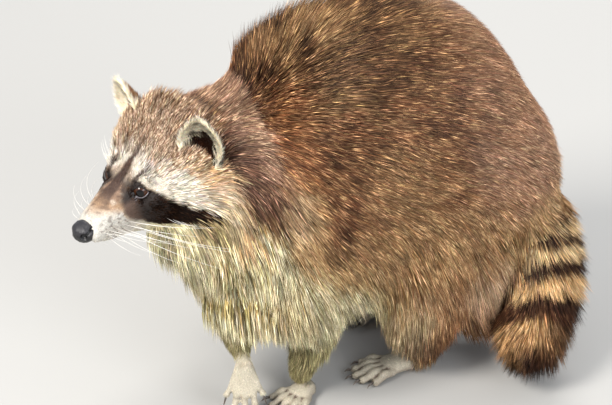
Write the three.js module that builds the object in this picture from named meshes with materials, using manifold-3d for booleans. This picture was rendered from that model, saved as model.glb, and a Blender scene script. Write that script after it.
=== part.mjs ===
// A raccoon, life size, standing hunched on all fours and turning to its left.
// Millimetres, +Z up. The nose points to -Y and the animal's left side is +X.
// Every outline runs to the tips of the winter coat, and the feet stand on z = 0.
import * as THREE from "three";
import { mergeVertices } from "three/addons/utils/BufferGeometryUtils.js";
import Module from "manifold-3d";

const wasm = await Module();
wasm.setup();
const { Manifold, Mesh } = wasm;

// ---- driving sizes -------------------------------------------------------
const BACK_TOP = 388; // floor to the coat over the arched back
const BARREL_HALF = 120; // half the width of the barrel, coat included
const BRISKET = 46; // floor to the hair under the chest
const EYES_AT = [-1, -200, 247]; // midpoint between the eyes
const HEAD_TURN = 20; // degrees to the animal's left
const HEAD_DROP = 14; // degrees, nose down
const EYE_RADIUS = 8;
const TAIL_RADIUS = 44;
const FRONT_PAW = 56; // length of a front paw without its claws
const HIND_FOOT = 86; // length of a hind foot without its claws
const GAP = 0.35; // clearance between neighbouring pieces

const RAD = Math.PI / 180;
const v = (x, y, z) => new THREE.Vector3(x, y, z);

// ---- making solids -------------------------------------------------------
// one section: where it is, half its width, and how far it reaches up and down
const ring = (x, y, z, wide, above = wide, below = above) => ({
  at: v(x, y, z),
  size: v(wide, above, below),
});

// a closed tube through its rings with rounded ends; upright keeps sections vertical
function loft(rings, { sides = 20, steps = 16, cap = 0.18, upright = false } = {}) {
  const path = new THREE.CatmullRomCurve3(rings.map((r) => r.at));
  const size = new THREE.CatmullRomCurve3(rings.map((r) => r.size));
  const shape = new THREE.SphereGeometry(1, sides, steps);
  const points = shape.attributes.position;
  for (let i = 0; i < points.count; i += 1) {
    const [x, y, z] = [points.getX(i), points.getY(i), points.getZ(i)];
    const s = Math.min(1, Math.max(0, (1 - y) / 2));
    const near = Math.min(1, Math.min(s, 1 - s) / cap);
    const round = Math.sqrt(Math.max(0, near * (2 - near)));
    const flat = Math.hypot(x, z);
    const share = flat > 1e-6 ? round / flat : 0;
    const along = path.getTangent(s);
    const across = v(1, 0, 0);
    if (!upright) across.addScaledVector(along, -along.x).normalize();
    const up = upright ? v(0, 0, 1) : along.clone().cross(across);
    const r = size.getPoint(s);
    const p = path.getPoint(s);
    p.addScaledVector(across, x * share * r.x);
    p.addScaledVector(up, z * share * (z > 0 ? r.y : r.z));
    points.setXYZ(i, p.x, p.y, p.z);
  }
  return shape;
}

// an ellipsoid, turned about x then z
function egg(centre, radii, { tip = 0, turn = 0, sides = 20, steps = 14 } = {}) {
  return new THREE.SphereGeometry(1, sides, steps)
    .rotateX(Math.PI / 2)
    .scale(...radii)
    .rotateX(tip * RAD)
    .rotateZ(turn * RAD)
    .translate(...centre);
}

function welded(geometry) {
  const bare = geometry.clone();
  bare.deleteAttribute("uv");
  bare.deleteAttribute("normal");
  return mergeVertices(bare, 1e-4);
}

// the same shape pushed out by the clearance, to cut its neighbours with
function swollen(geometry, by = GAP) {
  const bare = welded(geometry);
  bare.computeVertexNormals();
  const points = bare.attributes.position;
  const push = bare.attributes.normal;
  for (let i = 0; i < points.count; i += 1) {
    points.setXYZ(
      i,
      points.getX(i) + push.getX(i) * by,
      points.getY(i) + push.getY(i) * by,
      points.getZ(i) + push.getZ(i) * by,
    );
  }
  bare.deleteAttribute("normal");
  return bare;
}

function solid(geometry) {
  const bare = geometry.attributes.uv ? welded(geometry) : geometry;
  return new Manifold(
    new Mesh({
      numProp: 3,
      vertProperties: new Float32Array(bare.attributes.position.array),
      triVerts: new Uint32Array(bare.index.array),
    }),
  );
}

const swell = (geometry) => solid(swollen(geometry));
const join = (pieces) => Manifold.union(pieces);
const without = (piece, others) => others.reduce((left, other) => left.subtract(other), piece);

// everything on the far side of a plane through a point, as a large block
function beyond(point, normal, gap = 0) {
  const n = v(...normal).normalize();
  const block = new THREE.BoxGeometry(1200, 1200, 1200).translate(0, 0, 600 + gap);
  block.applyQuaternion(new THREE.Quaternion().setFromUnitVectors(v(0, 0, 1), n));
  return solid(block.translate(...point));
}

const underfloor = beyond([0, 0, 0], [0, 0, -1]);

// ---- colours -------------------------------------------------------------
const paint = (name, color, roughness) =>
  Object.assign(new THREE.MeshStandardMaterial({ color, roughness }), { name });
const BROWN = paint("brown coat", 0x6e5038, 0.9);
const CREAM = paint("cream coat", 0xb5a27c, 0.9);
const PALE = paint("pale short hair", 0xc9bda8, 0.85);
const DARK = paint("dark skin", 0x2b2628, 0.5);
const EYE = paint("dark eye", 0x140c08, 0.1);
const HORN = paint("dark horn", 0x35302c, 0.45);

// ---- trunk and neck ------------------------------------------------------
// vertical sections from the rump forward to the chest
function trunkShape() {
  const low = BRISKET;
  const top = BACK_TOP;
  const w = BARREL_HALF;
  return loft(
    [
      ring(14, 234, 196, 34, 40, 44), // rump, over the root of the tail
      ring(12, 196, 198, w - 22, 78, 84),
      ring(9, 146, 210, w - 2, top - 252, 104),
      ring(5, 90, 212, w, top - 219, 122),
      ring(2, 30, 206, w, top - 208, 142), // loin, the highest part
      ring(-1, -28, 200, w - 9, top - 213, 152),
      ring(-6, -82, 186, w - 17, top - 236, 186 - low - 2), // shoulders
      ring(-14, -128, 168, w - 34, 96, 168 - low - 8),
      ring(-19, -166, 142, 44, 46, 50), // front of the chest
    ],
    { sides: 16, steps: 14, cap: 0.1, upright: true },
  );
}

function neckShape() {
  return loft(
    [
      ring(-6, -52, 230, 60, 74, 60),
      ring(-12, -86, 230, 84, 84, 84),
      ring(-18, -120, 232, 84, 76, 82),
      ring(-22, -152, 236, 72, 64, 64),
    ],
    { sides: 14, steps: 7, cap: 0.3, upright: true },
  );
}

// ---- head ----------------------------------------------------------------
// the head is shaped facing -Y about the midpoint of its eyes, then dropped and turned
function headPlace(geometry) {
  return geometry
    .rotateX(HEAD_DROP * RAD)
    .rotateZ(HEAD_TURN * RAD)
    .translate(...EYES_AT);
}

function headShape() {
  return headPlace(
    loft(
      [
        ring(0, 90, -12, 54, 60, 52),
        ring(0, 66, -12, 72, 61, 58), // ears
        ring(0, 41, -15, 74, 54, 56), // cheek ruffs
        ring(0, 17, -14, 50, 39, 49),
        ring(0, -4, -10.5, 27, 24, 43), // eyes
        ring(0, -20, -11.5, 22, 19, 38),
        ring(0, -38, -12.5, 18, 14.5, 30.5),
        ring(0, -56, -12.5, 14, 12, 19.5), // tip of the muzzle
      ],
      { sides: 16, steps: 16, cap: 0.1, upright: true },
    ),
  );
}

const eyeShape = (side) =>
  headPlace(egg([side * 19.5, 0, 0], [EYE_RADIUS, EYE_RADIUS, EYE_RADIUS], { sides: 10, steps: 7 }));

// the bare pad at the end of the muzzle, and the nostril let in to each side of it
const padShape = () => headPlace(egg([0, -57.5, -14.2], [11.5, 10, 10.2], { sides: 11, steps: 8 }));
const nostrilShape = (side) =>
  headPlace(egg([side * 8.2, -64.4, -12.5], [2.2, 3, 1.9], { turn: side * 35, sides: 6, steps: 5 }));

// each ear has its own set: tipped, leaned and swung in degrees, then its place on the head
const earSet = {
  1: { tip: -2, lean: 8, swing: 26, at: [51.5, 52.5, 29] },
  [-1]: { tip: -3, lean: -20, swing: -16, at: [-50, 60, 20] },
};

// a rounded cup that opens forward and outward
function earBlank(side, [wide, thick, tall], forward) {
  const { tip, lean, swing, at } = earSet[side];
  const blank = new THREE.SphereGeometry(1, 12, 8)
    .rotateX(Math.PI / 2)
    .scale(wide, thick, tall)
    .translate(0, -forward, 0)
    .rotateX(tip * RAD)
    .rotateY(lean * RAD)
    .rotateZ(swing * RAD)
    .translate(...at);
  return headPlace(blank);
}

const earShape = (side) => earBlank(side, [24, 12, 35], 0);
const earHollow = (side) => earBlank(side, [19, 12, 29], 10);

// ---- tail ----------------------------------------------------------------
// hangs from the rump, then curls forward to rest its end on the floor
function tailShape() {
  const r = TAIL_RADIUS;
  return loft(
    [
      ring(10, 150, 184, r - 16),
      ring(36, 184, 162, r - 6),
      ring(57, 190, 130, r),
      ring(84, 184, 89, r + 2),
      ring(111, 165, 58, r),
      ring(137, 144, 40, r - 6),
    ],
    { sides: 12, steps: 12, cap: 0.16 },
  );
}

// ---- legs ----------------------------------------------------------------
// the upper legs show only as a swelling of the coat
const shoulderShape = (side) =>
  egg([side * 72, -54, 146], [52, 46, 80], { tip: -8, sides: 11, steps: 7 });
const haunchShape = (side) =>
  egg([side * 72, side > 0 ? 86 : 106, 136], [58, 70, 88], { tip: 10, sides: 12, steps: 8 });
// the long hair behind the thighs, under the tail
const breechShape = (side) =>
  egg([side * 48, 132, 112], [54, 58, 78], { sides: 9, steps: 6 });

// elbow, forearm and wrist; the right one crosses in front of the left
const forelegShape = {
  left: () => [
    ring(66, -30, 112, 31), ring(59, -36, 76, 24), ring(48, -48, 44, 17), ring(45, -50, 14, 13),
  ],
  right: () => [
    ring(-40, -80, 116, 31), ring(-10, -94, 94, 26), ring(20, -104, 78, 20), ring(40, -106, 48, 14),
  ],
};
const foreleg = (side) => loft(forelegShape[side](), { sides: 10, steps: 8, cap: 0.2 });

const shank = (side, back) =>
  loft(
    [
      ring(side * 62, 66 + back, 112, 46),
      ring(side * 60, 69 + back, 84, 44),
      ring(side * 57, 74 + back, 58, 37),
      ring(side * 54, 79 + back, 34, 24),
      ring(side * 51, 82 + back, 14, 15),
    ],
    { sides: 11, steps: 8, cap: 0.2 },
  );

// a foot with its heel at the origin, pointing to -Y: the flesh first, then its claws
function foot({ long, wide, thick, toes, fan }) {
  const palm = long - toes;
  const flesh = [
    loft(
      [
        ring(0, -2, thick, wide * 0.34, thick),
        ring(0, -palm * 0.45, thick, wide * 0.42, thick),
        ring(0, -palm, thick * 0.72, wide * 0.5, thick * 0.72),
      ],
      { sides: 8, steps: 4, cap: 0.24 },
    ),
  ];
  const claws = [];
  for (let i = -2; i <= 2; i += 1) {
    const out = i / 2; // -1 at one edge of the foot, +1 at the other
    const reach = toes * (1 - 0.26 * out * out);
    const angle = out * fan * RAD;
    const r = thick * 0.46;
    const knuckle = (share, z, size) =>
      ring(
        out * wide * 0.36 + Math.sin(angle) * reach * share,
        4 + 5 * out * out - palm - Math.cos(angle) * reach * share,
        z,
        size,
      );
    flesh.push(
      loft([knuckle(-0.2, r * 1.4, r * 1.1), knuckle(0.45, r * 1.7, r), knuckle(0.98, r * 0.95, r * 0.9)], {
        sides: 6, steps: 3, cap: 0.25,
      }),
    );
    claws.push(
      loft([knuckle(0.9, r * 1.15, 1.7), knuckle(1.12, r * 0.95, 1.4), knuckle(1.3, 0.75, 0.5)], {
        sides: 5, steps: 2, cap: 0.3,
      }),
    );
  }
  return { flesh, claws };
}

const frontPaw = { long: FRONT_PAW, wide: 31, thick: 8.5, toes: 30, fan: 24 };
const hindFoot = { long: HIND_FOOT, wide: 34, thick: 10, toes: 32, fan: 16 };

function stand(pieces, [x, y, z], heading, pitch = 0) {
  const move = (g) => g.rotateX(pitch * RAD).rotateZ(heading * RAD).translate(x, y, z);
  pieces.flesh.forEach(move);
  pieces.claws.forEach(move);
  return pieces;
}

const feet = {
  front_left: stand(foot(frontPaw), [46, -39, 0], 24),
  front_right: stand(foot({ ...frontPaw, fan: 17 }), [37, -105, 56], 68, 64),
  hind_left: stand(foot(hindFoot), [52, 86, 0], -4),
  hind_right: stand(foot(hindFoot), [-54, 118, 0], 4),
};

// ---- fitting the pieces together -----------------------------------------
// pieces are laid down in order, and each gives way to the ones before it
const nodes = [];
const laid = [];

function apart(a, b) {
  const [p, q] = [a.boundingBox(), b.boundingBox()];
  return [0, 1, 2].some((k) => p.max[k] < q.min[k] || q.max[k] < p.min[k]);
}

function lay(shapes, hollows = []) {
  const cuts = laid.filter((other) => !apart(other, join(shapes.map(solid))));
  const piece = without(join(shapes.map(solid)), [underfloor, ...hollows.map(solid), ...cuts]);
  laid.push(join(shapes.map(swell)));
  return piece;
}

const name = (label, piece, material) => nodes.push({ label, piece, material });

for (const side of ["left", "right"]) {
  name(`eye_${side}`, lay([eyeShape(side === "left" ? 1 : -1)]), EYE);
}
name("nose_pad", lay([padShape()], [nostrilShape(1), nostrilShape(-1)]), DARK);
const head = lay([headShape()]);
name("head", head, BROWN);
for (const [side, sign] of [["left", 1], ["right", -1]]) {
  name(`ear_${side}`, lay([earShape(sign)], [earHollow(sign)]), CREAM);
}
for (const [where, { flesh, claws }] of Object.entries(feet)) {
  name(`foot_${where}`, lay(flesh), PALE);
  claws.forEach((claw, i) => name(`claw_${where}_${i + 1}`, lay([claw]), HORN));
}
for (const [side, sign] of [["left", 1], ["right", -1]]) {
  name(`foreleg_${side}`, lay([foreleg(side)]), PALE);
  name(`shank_${side}`, lay([shank(sign, sign > 0 ? 0 : 34)]), CREAM);
  name(`shoulder_${side}`, lay([shoulderShape(sign)]), CREAM);
  name(`haunch_${side}`, lay([haunchShape(sign), breechShape(sign)]), BROWN);
}

// a long piece is parted by planes, listed in order from its first length to its last
function part(piece, cuts) {
  return [...cuts, null].map((cut, i) => {
    const ends = [];
    if (cut) ends.push(beyond(cut.at, cut.facing, -GAP / 2));
    if (i > 0) ends.push(beyond(cuts[i - 1].at, cuts[i - 1].facing.map((a) => -a), -GAP / 2));
    return without(piece, ends);
  });
}

const tailLengths = part(lay([tailShape()]), [
  { at: [60, 190, 124], facing: [0.5, 0, -0.87] },
  { at: [104, 171, 66], facing: [0.55, -0.45, -0.7] },
]);
["tail_base", "tail_middle", "tail_tip"].forEach((label, i) =>
  name(label, tailLengths[i], i < 2 ? BROWN : DARK),
);
name("neck", lay([neckShape()]), BROWN);
const trunkLengths = part(lay([trunkShape()]), [
  { at: [0, -58, 0], facing: [0, 1, 0] },
  { at: [0, 128, 0], facing: [0, 1, 0] },
]);
["chest", "barrel", "rump"].forEach((label, i) => name(label, trunkLengths[i], i ? BROWN : CREAM));

// ---- the part ------------------------------------------------------------
function meshOf({ label, piece, material }) {
  const { numProp, vertProperties, triVerts } = piece.getMesh();
  const points = vertProperties.filter((_, i) => i % numProp < 3);
  const geometry = new THREE.BufferGeometry();
  geometry.setAttribute("position", new THREE.BufferAttribute(new Float32Array(points), 3));
  geometry.setIndex(new THREE.BufferAttribute(new Uint32Array(triVerts), 1));
  geometry.computeVertexNormals();
  const mesh = new THREE.Mesh(geometry, material);
  mesh.name = label;
  return mesh;
}

const GROUPS = {
  head_group: ["head", "nose_pad", "eye_", "ear_", "neck"],
  trunk_group: ["chest", "barrel", "rump", "tail_"],
  leg_group: ["foreleg_", "shank_", "shoulder_", "haunch_", "foot_", "claw_"],
};
const raccoon = new THREE.Group();
raccoon.name = "raccoon";
for (const [label, starts] of Object.entries(GROUPS)) {
  const group = new THREE.Group();
  group.name = label;
  for (const node of nodes) {
    if (starts.some((s) => node.label.startsWith(s))) group.add(meshOf(node));
  }
  raccoon.add(group);
}

// stand the middle of the outline over the origin
const box = new THREE.Box3().setFromObject(raccoon);
raccoon.position.set(-(box.min.x + box.max.x) / 2, -(box.min.y + box.max.y) / 2, -box.min.z);
raccoon.updateMatrixWorld(true);

export default raccoon;
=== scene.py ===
import math

import bmesh
import bpy
import numpy as np
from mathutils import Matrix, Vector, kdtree


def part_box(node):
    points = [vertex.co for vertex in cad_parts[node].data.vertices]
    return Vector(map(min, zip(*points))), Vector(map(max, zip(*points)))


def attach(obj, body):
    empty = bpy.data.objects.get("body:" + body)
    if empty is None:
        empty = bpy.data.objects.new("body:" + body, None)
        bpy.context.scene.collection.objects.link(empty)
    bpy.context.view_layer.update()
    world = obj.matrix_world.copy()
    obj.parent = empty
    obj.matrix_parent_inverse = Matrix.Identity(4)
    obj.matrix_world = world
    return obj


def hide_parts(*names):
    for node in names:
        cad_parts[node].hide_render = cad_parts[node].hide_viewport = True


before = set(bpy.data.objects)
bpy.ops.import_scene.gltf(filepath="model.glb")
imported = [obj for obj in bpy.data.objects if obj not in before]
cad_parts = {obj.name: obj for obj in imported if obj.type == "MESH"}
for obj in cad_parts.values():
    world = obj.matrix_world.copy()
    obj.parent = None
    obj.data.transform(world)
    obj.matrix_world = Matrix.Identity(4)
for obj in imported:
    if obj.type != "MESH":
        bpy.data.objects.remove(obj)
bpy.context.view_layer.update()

# ==== Skin: the shapes under the coat =========================================
# One hide over the whole animal, from the lips to the tail and the toes. Shapes are
# measured in millimetres from a datum on the floor under the loin, nose towards -Y,
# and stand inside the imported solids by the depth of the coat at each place.

EYE_SOCKETS = np.array([-1, -200, 247.0])  # point midway between the eyes
HEAD_TURN, HEAD_DROP = math.radians(20), math.radians(14)


def middle(node):
    low, high = (np.array(corner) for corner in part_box(node))
    return (low + high) / 2


DATUM = (middle("eye_left") + middle("eye_right")) / 2 - EYE_SOCKETS / 1000


def placed(points):
    """From millimetres about the datum to metres in the frame."""
    return np.asarray(points) / 1000 + DATUM


def turn_about(axis, angle):
    """The matrix of a turn about x, y or z, which are axes 0, 1 and 2."""
    i, j = (axis + 1) % 3, (axis + 2) % 3
    matrix = np.eye(3)
    matrix[i, i] = matrix[j, j] = math.cos(angle)
    matrix[i, j], matrix[j, i] = -math.sin(angle), math.sin(angle)
    return matrix


def turning(drop, turn):
    """The matrix that drops the nose end of a shape, then turns it to the left."""
    return turn_about(2, turn) @ turn_about(0, drop)


HEAD_AXES = turning(HEAD_DROP, HEAD_TURN)


def on_head(points):
    """From millimetres about the midpoint of the eyes to millimetres about the datum."""
    return np.asarray(points) @ HEAD_AXES.T + EYE_SOCKETS


def in_head(points):
    return (np.asarray(points) - EYE_SOCKETS) @ HEAD_AXES


def curve_at(rows, share):
    """A smooth curve through the rows, read at shares of its length."""
    rows = np.asarray(rows, float)
    spans = len(rows) - 1
    place = np.clip(share, 0, 1) * spans
    i = np.minimum(place.astype(int), spans - 1)
    f = (place - i)[:, None]
    ends = np.vstack([2 * rows[0] - rows[1], rows, 2 * rows[-1] - rows[-2]])
    a, b, c, d = (ends[i + k] for k in range(4))
    return 0.5 * (2 * b + (c - a) * f + (2 * a - 5 * b + 4 * c - d) * f**2
                  + (3 * b - a - 3 * c + d) * f**3)


def unit(vectors):
    return vectors / np.maximum(np.linalg.norm(vectors, axis=-1, keepdims=True), 1e-9)


def loft(rows, sides=40, steps=60, cap=0.1, upright=False):
    """A closed tube through rows of x, y, z, half width, reach up and reach down."""
    rows = np.array([r if len(r) == 6 else [*r[:3], r[3], r[3], r[3]] for r in rows], float)
    share = (1 - np.cos(np.linspace(0, math.pi, steps + 1))) / 2
    near = np.minimum(np.minimum(share, 1 - share) / cap, 1)
    rounding = np.sqrt(near * (2 - near))[:, None]
    here = curve_at(rows, share)
    tangent = unit(curve_at(rows[:, :3], share + 0.004) - curve_at(rows[:, :3], share - 0.004))
    across = np.tile([1.0, 0, 0], (len(share), 1))
    up = np.tile([0, 0, 1.0], (len(share), 1))
    if not upright:
        across = unit(across - tangent * tangent[:, :1])
        up = np.cross(tangent, across)
    angle = np.linspace(0, 2 * math.pi, sides, endpoint=False)
    points = [here[0, :3]]
    for k in range(1, steps):
        high = np.where(np.sin(angle) > 0, here[k, 4], here[k, 5])
        points.append(here[k, :3] + rounding[k] * (
            np.outer(np.cos(angle) * here[k, 3], across[k])
            + np.outer(np.sin(angle) * high, up[k])))
    points.append(here[-1, :3])
    points = np.vstack(points)
    last = len(points) - 1
    faces = []
    for j in range(sides):
        n = (j + 1) % sides
        faces.append((0, 1 + n, 1 + j))
        faces.append((last, last - sides + j, last - sides + n))
        for k in range(steps - 2):
            a, b = 1 + k * sides, 1 + (k + 1) * sides
            faces.append((a + j, a + n, b + n, b + j))
    shares = np.concatenate([[0], np.repeat(share[1:-1], sides), [1]])
    flow = np.vstack([tangent[:1], np.repeat(tangent[1:-1], sides, axis=0), tangent[-1:]])
    return points, faces, shares, flow


def egg(centre, radii, tip=0.0):
    """An egg with its half sizes, tipped by some degrees towards its back."""
    points, faces, shares, flow = loft([(0, -1, 0, 1), (0, 1, 0, 1)], 32, 32, 0.5)
    tipped = (points * radii) @ turn_about(0, math.radians(tip)).T
    return tipped + centre, faces, shares, -flow


# rows of each shape: middle x, y, z, then half width, reach up and reach down, or one radius
TRUNK = [
    (13, 220, 196, 24, 30, 32), (12, 192, 196, 70, 58, 66), (9, 146, 206, 95, 126, 84),
    (5, 90, 210, 98, 159, 86), (2, 30, 206, 98, 165, 92), (-1, -28, 200, 92, 156, 92),
    (-6, -80, 190, 82, 124, 86), (-14, -120, 184, 62, 64, 64), (-18, -148, 174, 36, 36, 38),
]
NECK = [(-2, -8, 222, 30, 74, 40), (-7, -52, 230, 54, 72, 52), (-12, -88, 234, 66, 66, 64),
        (-18, -120, 238, 68, 57, 60), (-20, -157, 238, 55, 48, 58)]
HEAD = [
    (0, 86, -12, 44, 52, 42), (0, 64, -14, 60, 54, 46), (0, 41, -17, 60, 49, 44),
    (0, 17, -15, 44, 36, 43), (0, -4, -11, 26.5, 21.5, 41), (0, -20, -11.5, 19.5, 16.5, 35.5),
    (0, -38, -12.5, 15.8, 12.4, 28), (0, -56, -12.5, 12.2, 10, 17.5),
]
SOCKET = np.array([18.3, 1.8, 0])  # centre of the left eyeball in the head
EYE_RADIUS = 8.0
TAIL = [(12, 162, 190, 22), (34, 189, 170, 22), (57, 190, 130, 28), (84, 184, 89, 27),
        (110, 165, 57, 22), (134, 148, 42, 14)]
FORELEGS = [
    [(60, -38, 126, 27), (56, -40, 80, 17), (48, -48, 44, 11.5), (45, -50, 14, 10)],
    [(-36, -78, 122, 26), (-8, -92, 98, 19), (20, -104, 78, 14), (38, -106, 50, 11)],
]


def shank(side, back):
    """Rows of a hind leg below the thigh, set back by some millimetres."""
    return [(side * x, y + back, z, r) for x, y, z, r in (
        (60, 66, 146, 36), (60, 66, 112, 39), (60, 68, 84, 36.5), (57, 72, 58, 29),
        (54, 75, 34, 17.5), (51, 80, 14, 12.5))]


# a paw has its heel at the origin and points to -Y; toes fan out from the palm
FRONT_PAW = dict(long=56, wide=31, thick=8.5, toes=30)
HIND_FOOT = dict(long=86, wide=34, thick=10, toes=32)
# each foot's form, fan of its toes in degrees, place of its heel, heading and pitch
STANDS = {
    "front_left": (FRONT_PAW, 24, (46, -39, 0), 24, 0),
    "front_right": (FRONT_PAW, 17, (37, -105, 56), 68, 64),
    "hind_left": (HIND_FOOT, 16, (52, 86, 0), -4, 0),
    "hind_right": (HIND_FOOT, 16, (-54, 118, 0), 4, 0),
}


def stood(points, stand):
    """Points of a foot brought from its own place to where it stands."""
    _, _, at, heading, pitch = stand
    return points @ turning(math.radians(pitch), math.radians(heading)).T + at


def toe_frame(stand, i):
    """Where toe i of five leaves the palm, the way it points, its reach and its size."""
    foot, fan = stand[0], stand[1]
    out = i / 2
    angle = math.radians(out * fan)
    reach = foot["toes"] * (1 - 0.26 * out * out)
    back = 4 + 5 * out * out - foot["long"] + foot["toes"]
    start = np.array([out * foot["wide"] * 0.36, back, 0])
    return start, np.array([math.sin(angle), -math.cos(angle), 0]), reach, foot["thick"] * 0.46


# along a toe: share of its reach, height and girth as shares of its size
KNUCKLES = [(-0.25, 1.5, 0.95), (0.2, 1.75, 0.86), (0.42, 1.95, 0.98), (0.68, 1.25, 0.74),
            (0.86, 1.05, 0.86), (1.0, 0.95, 0.66)]


def foot_shapes(stand):
    """A palm and five toes, set where the foot stands."""
    foot = stand[0]
    thick, wide = foot["thick"], foot["wide"]
    palm = foot["long"] - foot["toes"]
    shapes = [loft([(0, 1, thick, wide * 0.26, thick * 0.9, thick * 0.9),
                    (0, -palm * 0.45, thick, wide * 0.36, thick * 0.85, thick * 0.9),
                    (0, -palm, thick * 0.72, wide * 0.43, thick * 0.62, thick * 0.7)],
                   24, 24, 0.24)]
    for i in range(-2, 3):
        start, way, reach, r = toe_frame(stand, i)
        rows = [(*(start + way * reach * f + [0, 0, r * z]), r * w) for f, z, w in KNUCKLES]
        shapes.append(loft(rows, 14, 24, 0.16))
    still = (*stand[:2], (0, 0, 0), *stand[3:])
    return [(stood(p, stand), f, s, stood(w, still)) for p, f, s, w in shapes]


# an ear is a shallow cup: a front and a back skin that meet along a rounded rim
EAR_WIDE, EAR_TALL, EAR_DEEP, EAR_THICK = 21, 31, 11, 3.2
# how each is turned about x, y and z in degrees, and where it is set in the head
EAR_SET = {1: ((-2, 8, 26), (51.5, 52.5, 29)), -1: ((-3, -20, -16), (-50, 60, 20))}


def ear_frame(side):
    """Axes of an ear in the head: across it, out of its back, and up to its tip."""
    angles, where = EAR_SET[side]
    x, y, z = (turn_about(axis, math.radians(angle)) for axis, angle in enumerate(angles))
    return z @ y @ x, np.array(where, float)


def ear(side, rounds=14, spokes=48):
    """Both skins of an ear, as rings of points joined from its middle out and back."""
    angle = np.linspace(0, 2 * math.pi, spokes, endpoint=False)
    points = []
    for back in (0, 1):
        for k in range(rounds + back):
            r = k / rounds
            bowl = EAR_DEEP * (1 - r**2.2) - 5 + back * EAR_THICK * (1 - 0.2 * r)
            narrow = 1 - 0.30 * np.clip(np.sin(angle), 0, 1) ** 1.5
            points.append(np.stack([r * EAR_WIDE * np.cos(angle) * narrow,
                                    np.full(spokes, bowl), r * EAR_TALL * np.sin(angle)], 1))
    grid = np.stack(points)
    points = grid.reshape(-1, 3)
    faces = []
    front = list(range(rounds))
    back = list(range(rounds, 2 * rounds + 1))
    for rings, flip in ((front + [back[-1]], False), (back, True)):
        for a, b in zip(rings[:-1], rings[1:]):
            for j in range(spokes):
                n = (j + 1) % spokes
                face = (a * spokes + j, a * spokes + n, b * spokes + n, b * spokes + j)
                faces.append(face[::-1] if flip else face)
    axes, at = ear_frame(side)
    outward = unit(points * (1, 0, 1) + (0, 0, 0.8 * EAR_TALL))
    return (on_head(points @ axes.T + at), faces, np.hypot(points[:, 0], points[:, 2]) / EAR_TALL,
            outward @ axes.T @ HEAD_AXES.T)


def by_head(shape):
    points, faces, shares, flow = shape
    return on_head(points), faces, shares, flow @ HEAD_AXES.T


def face_swellings():
    """Rims of the sockets, brows, cheekbones and whisker pads, each an egg let into the head."""
    for side in (1, -1):
        for centre, radii in (((18.6, 2.5, 0), (9.8, 9.4, 9.6)), ((17, 6, 8), (12, 12, 6)),
                              ((25, 16, -11), (15, 20, 12)), ((8.6, -46, -18), (7.2, 13, 9.5))):
            yield by_head(egg(np.multiply(centre, (side, 1, 1)), radii))


PIECES = {"head": [by_head(loft(HEAD, 64, 96, 0.1, upright=True)), *face_swellings()],
          "ear": [ear(1), ear(-1)],
          "neck": [loft(NECK, cap=0.3, upright=True)],
          "trunk": [loft(TRUNK, upright=True)],
          "tail": [loft(TAIL, cap=0.12)],
          "foreleg": [loft(rows, cap=0.2) for rows in FORELEGS],
          "shank": [loft(shank(1, 0), cap=0.2), loft(shank(-1, 34), cap=0.2)],
          "foot": [shape for stand in STANDS.values() for shape in foot_shapes(stand)]}
for side, back in ((1, 86), (-1, 106)):
    PIECES["trunk"] += [egg((side * 60, -54, 150), (36, 42, 56), -8),
                        egg((side * 58, back - 4, 164), (42, 58, 68), 10),
                        egg((side * 44, 0, 164), (50, 104, 50)),
                        egg((side * 44, 129, 112), (44, 46, 64))]
PIECES["trunk"] += [egg((16, -80, 138), (54, 52, 50)), egg((-14, -114, 184), (56, 44, 66), 26),
                    egg((-18, -131, 184), (38, 34, 30))]


def set_out(name, data):
    """Puts a mesh, lamp or camera in the scene as an object."""
    obj = bpy.data.objects.new(name, data)
    bpy.context.scene.collection.objects.link(obj)
    return obj


def built(name, points, faces):
    """An object from points in millimetres about the datum."""
    mesh = bpy.data.meshes.new(name)
    mesh.from_pydata(placed(points).tolist(), [], faces)
    mesh.update()
    return set_out(name, mesh)


def merged(shapes):
    """The points and faces of several shapes as one."""
    points, faces, start = [], [], 0
    for shape in shapes:
        points.append(shape[0])
        faces += [tuple(start + v for v in face) for face in shape[1]]
        start += len(shape[0])
    return np.vstack(points), faces


def settled(obj, *modifiers):
    """Adds modifiers given as type and settings, applies them and drops the old mesh."""
    for kind, settings in modifiers:
        modifier = obj.modifiers.new(kind.lower(), kind)
        for key, value in settings.items():
            setattr(modifier, key, value)
    graph = bpy.context.evaluated_depsgraph_get()
    old = obj.data
    mesh = bpy.data.meshes.new_from_object(obj.evaluated_get(graph))
    obj.modifiers.clear()
    obj.data = mesh
    bpy.data.meshes.remove(old)


CELL = 0.0014  # metres across each cell in which the shapes are fused
skin = built("skin", *merged([shape for group in PIECES.values() for shape in group]))
settled(skin, ("REMESH", {"mode": "VOXEL", "voxel_size": CELL}))


class Hide:
    """The skin's points in millimetres about the datum, with its edges, for shaping in bulk."""

    def __init__(self, obj):
        mesh = obj.data
        self.count = len(mesh.vertices)
        flat = np.empty(self.count * 3)
        mesh.vertices.foreach_get("co", flat)
        self.points = (flat.reshape(-1, 3) - DATUM) * 1000
        pairs = np.empty(len(mesh.edges) * 2, np.int32)
        mesh.edges.foreach_get("vertices", pairs)
        self.a, self.b = pairs.reshape(-1, 2).T
        self.spokes = np.maximum(np.bincount(np.concatenate([self.a, self.b]),
                                             minlength=self.count), 1)

    def spread(self, values, times, share=1.0):
        """Averages a value at each point with its neighbours, a number of times."""
        values = np.array(values, float)
        flat = values.reshape(self.count, -1)
        for _ in range(times):
            for k in range(flat.shape[1]):
                column = flat[:, k]
                total = np.bincount(self.a, column[self.b], self.count)
                total += np.bincount(self.b, column[self.a], self.count)
                flat[:, k] = column + (total / self.spokes - column) * share
        return values

    def store(self, obj):
        """Gives the points back to the mesh."""
        obj.data.vertices.foreach_set("co", placed(self.points).ravel())
        obj.data.update()


def within(value, low, high):
    """0 below low, 1 above high and smooth between; low may be the greater."""
    t = np.clip((np.asarray(value, float) - low) / (high - low), 0, 1)
    return t * t * (3 - 2 * t)


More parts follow.
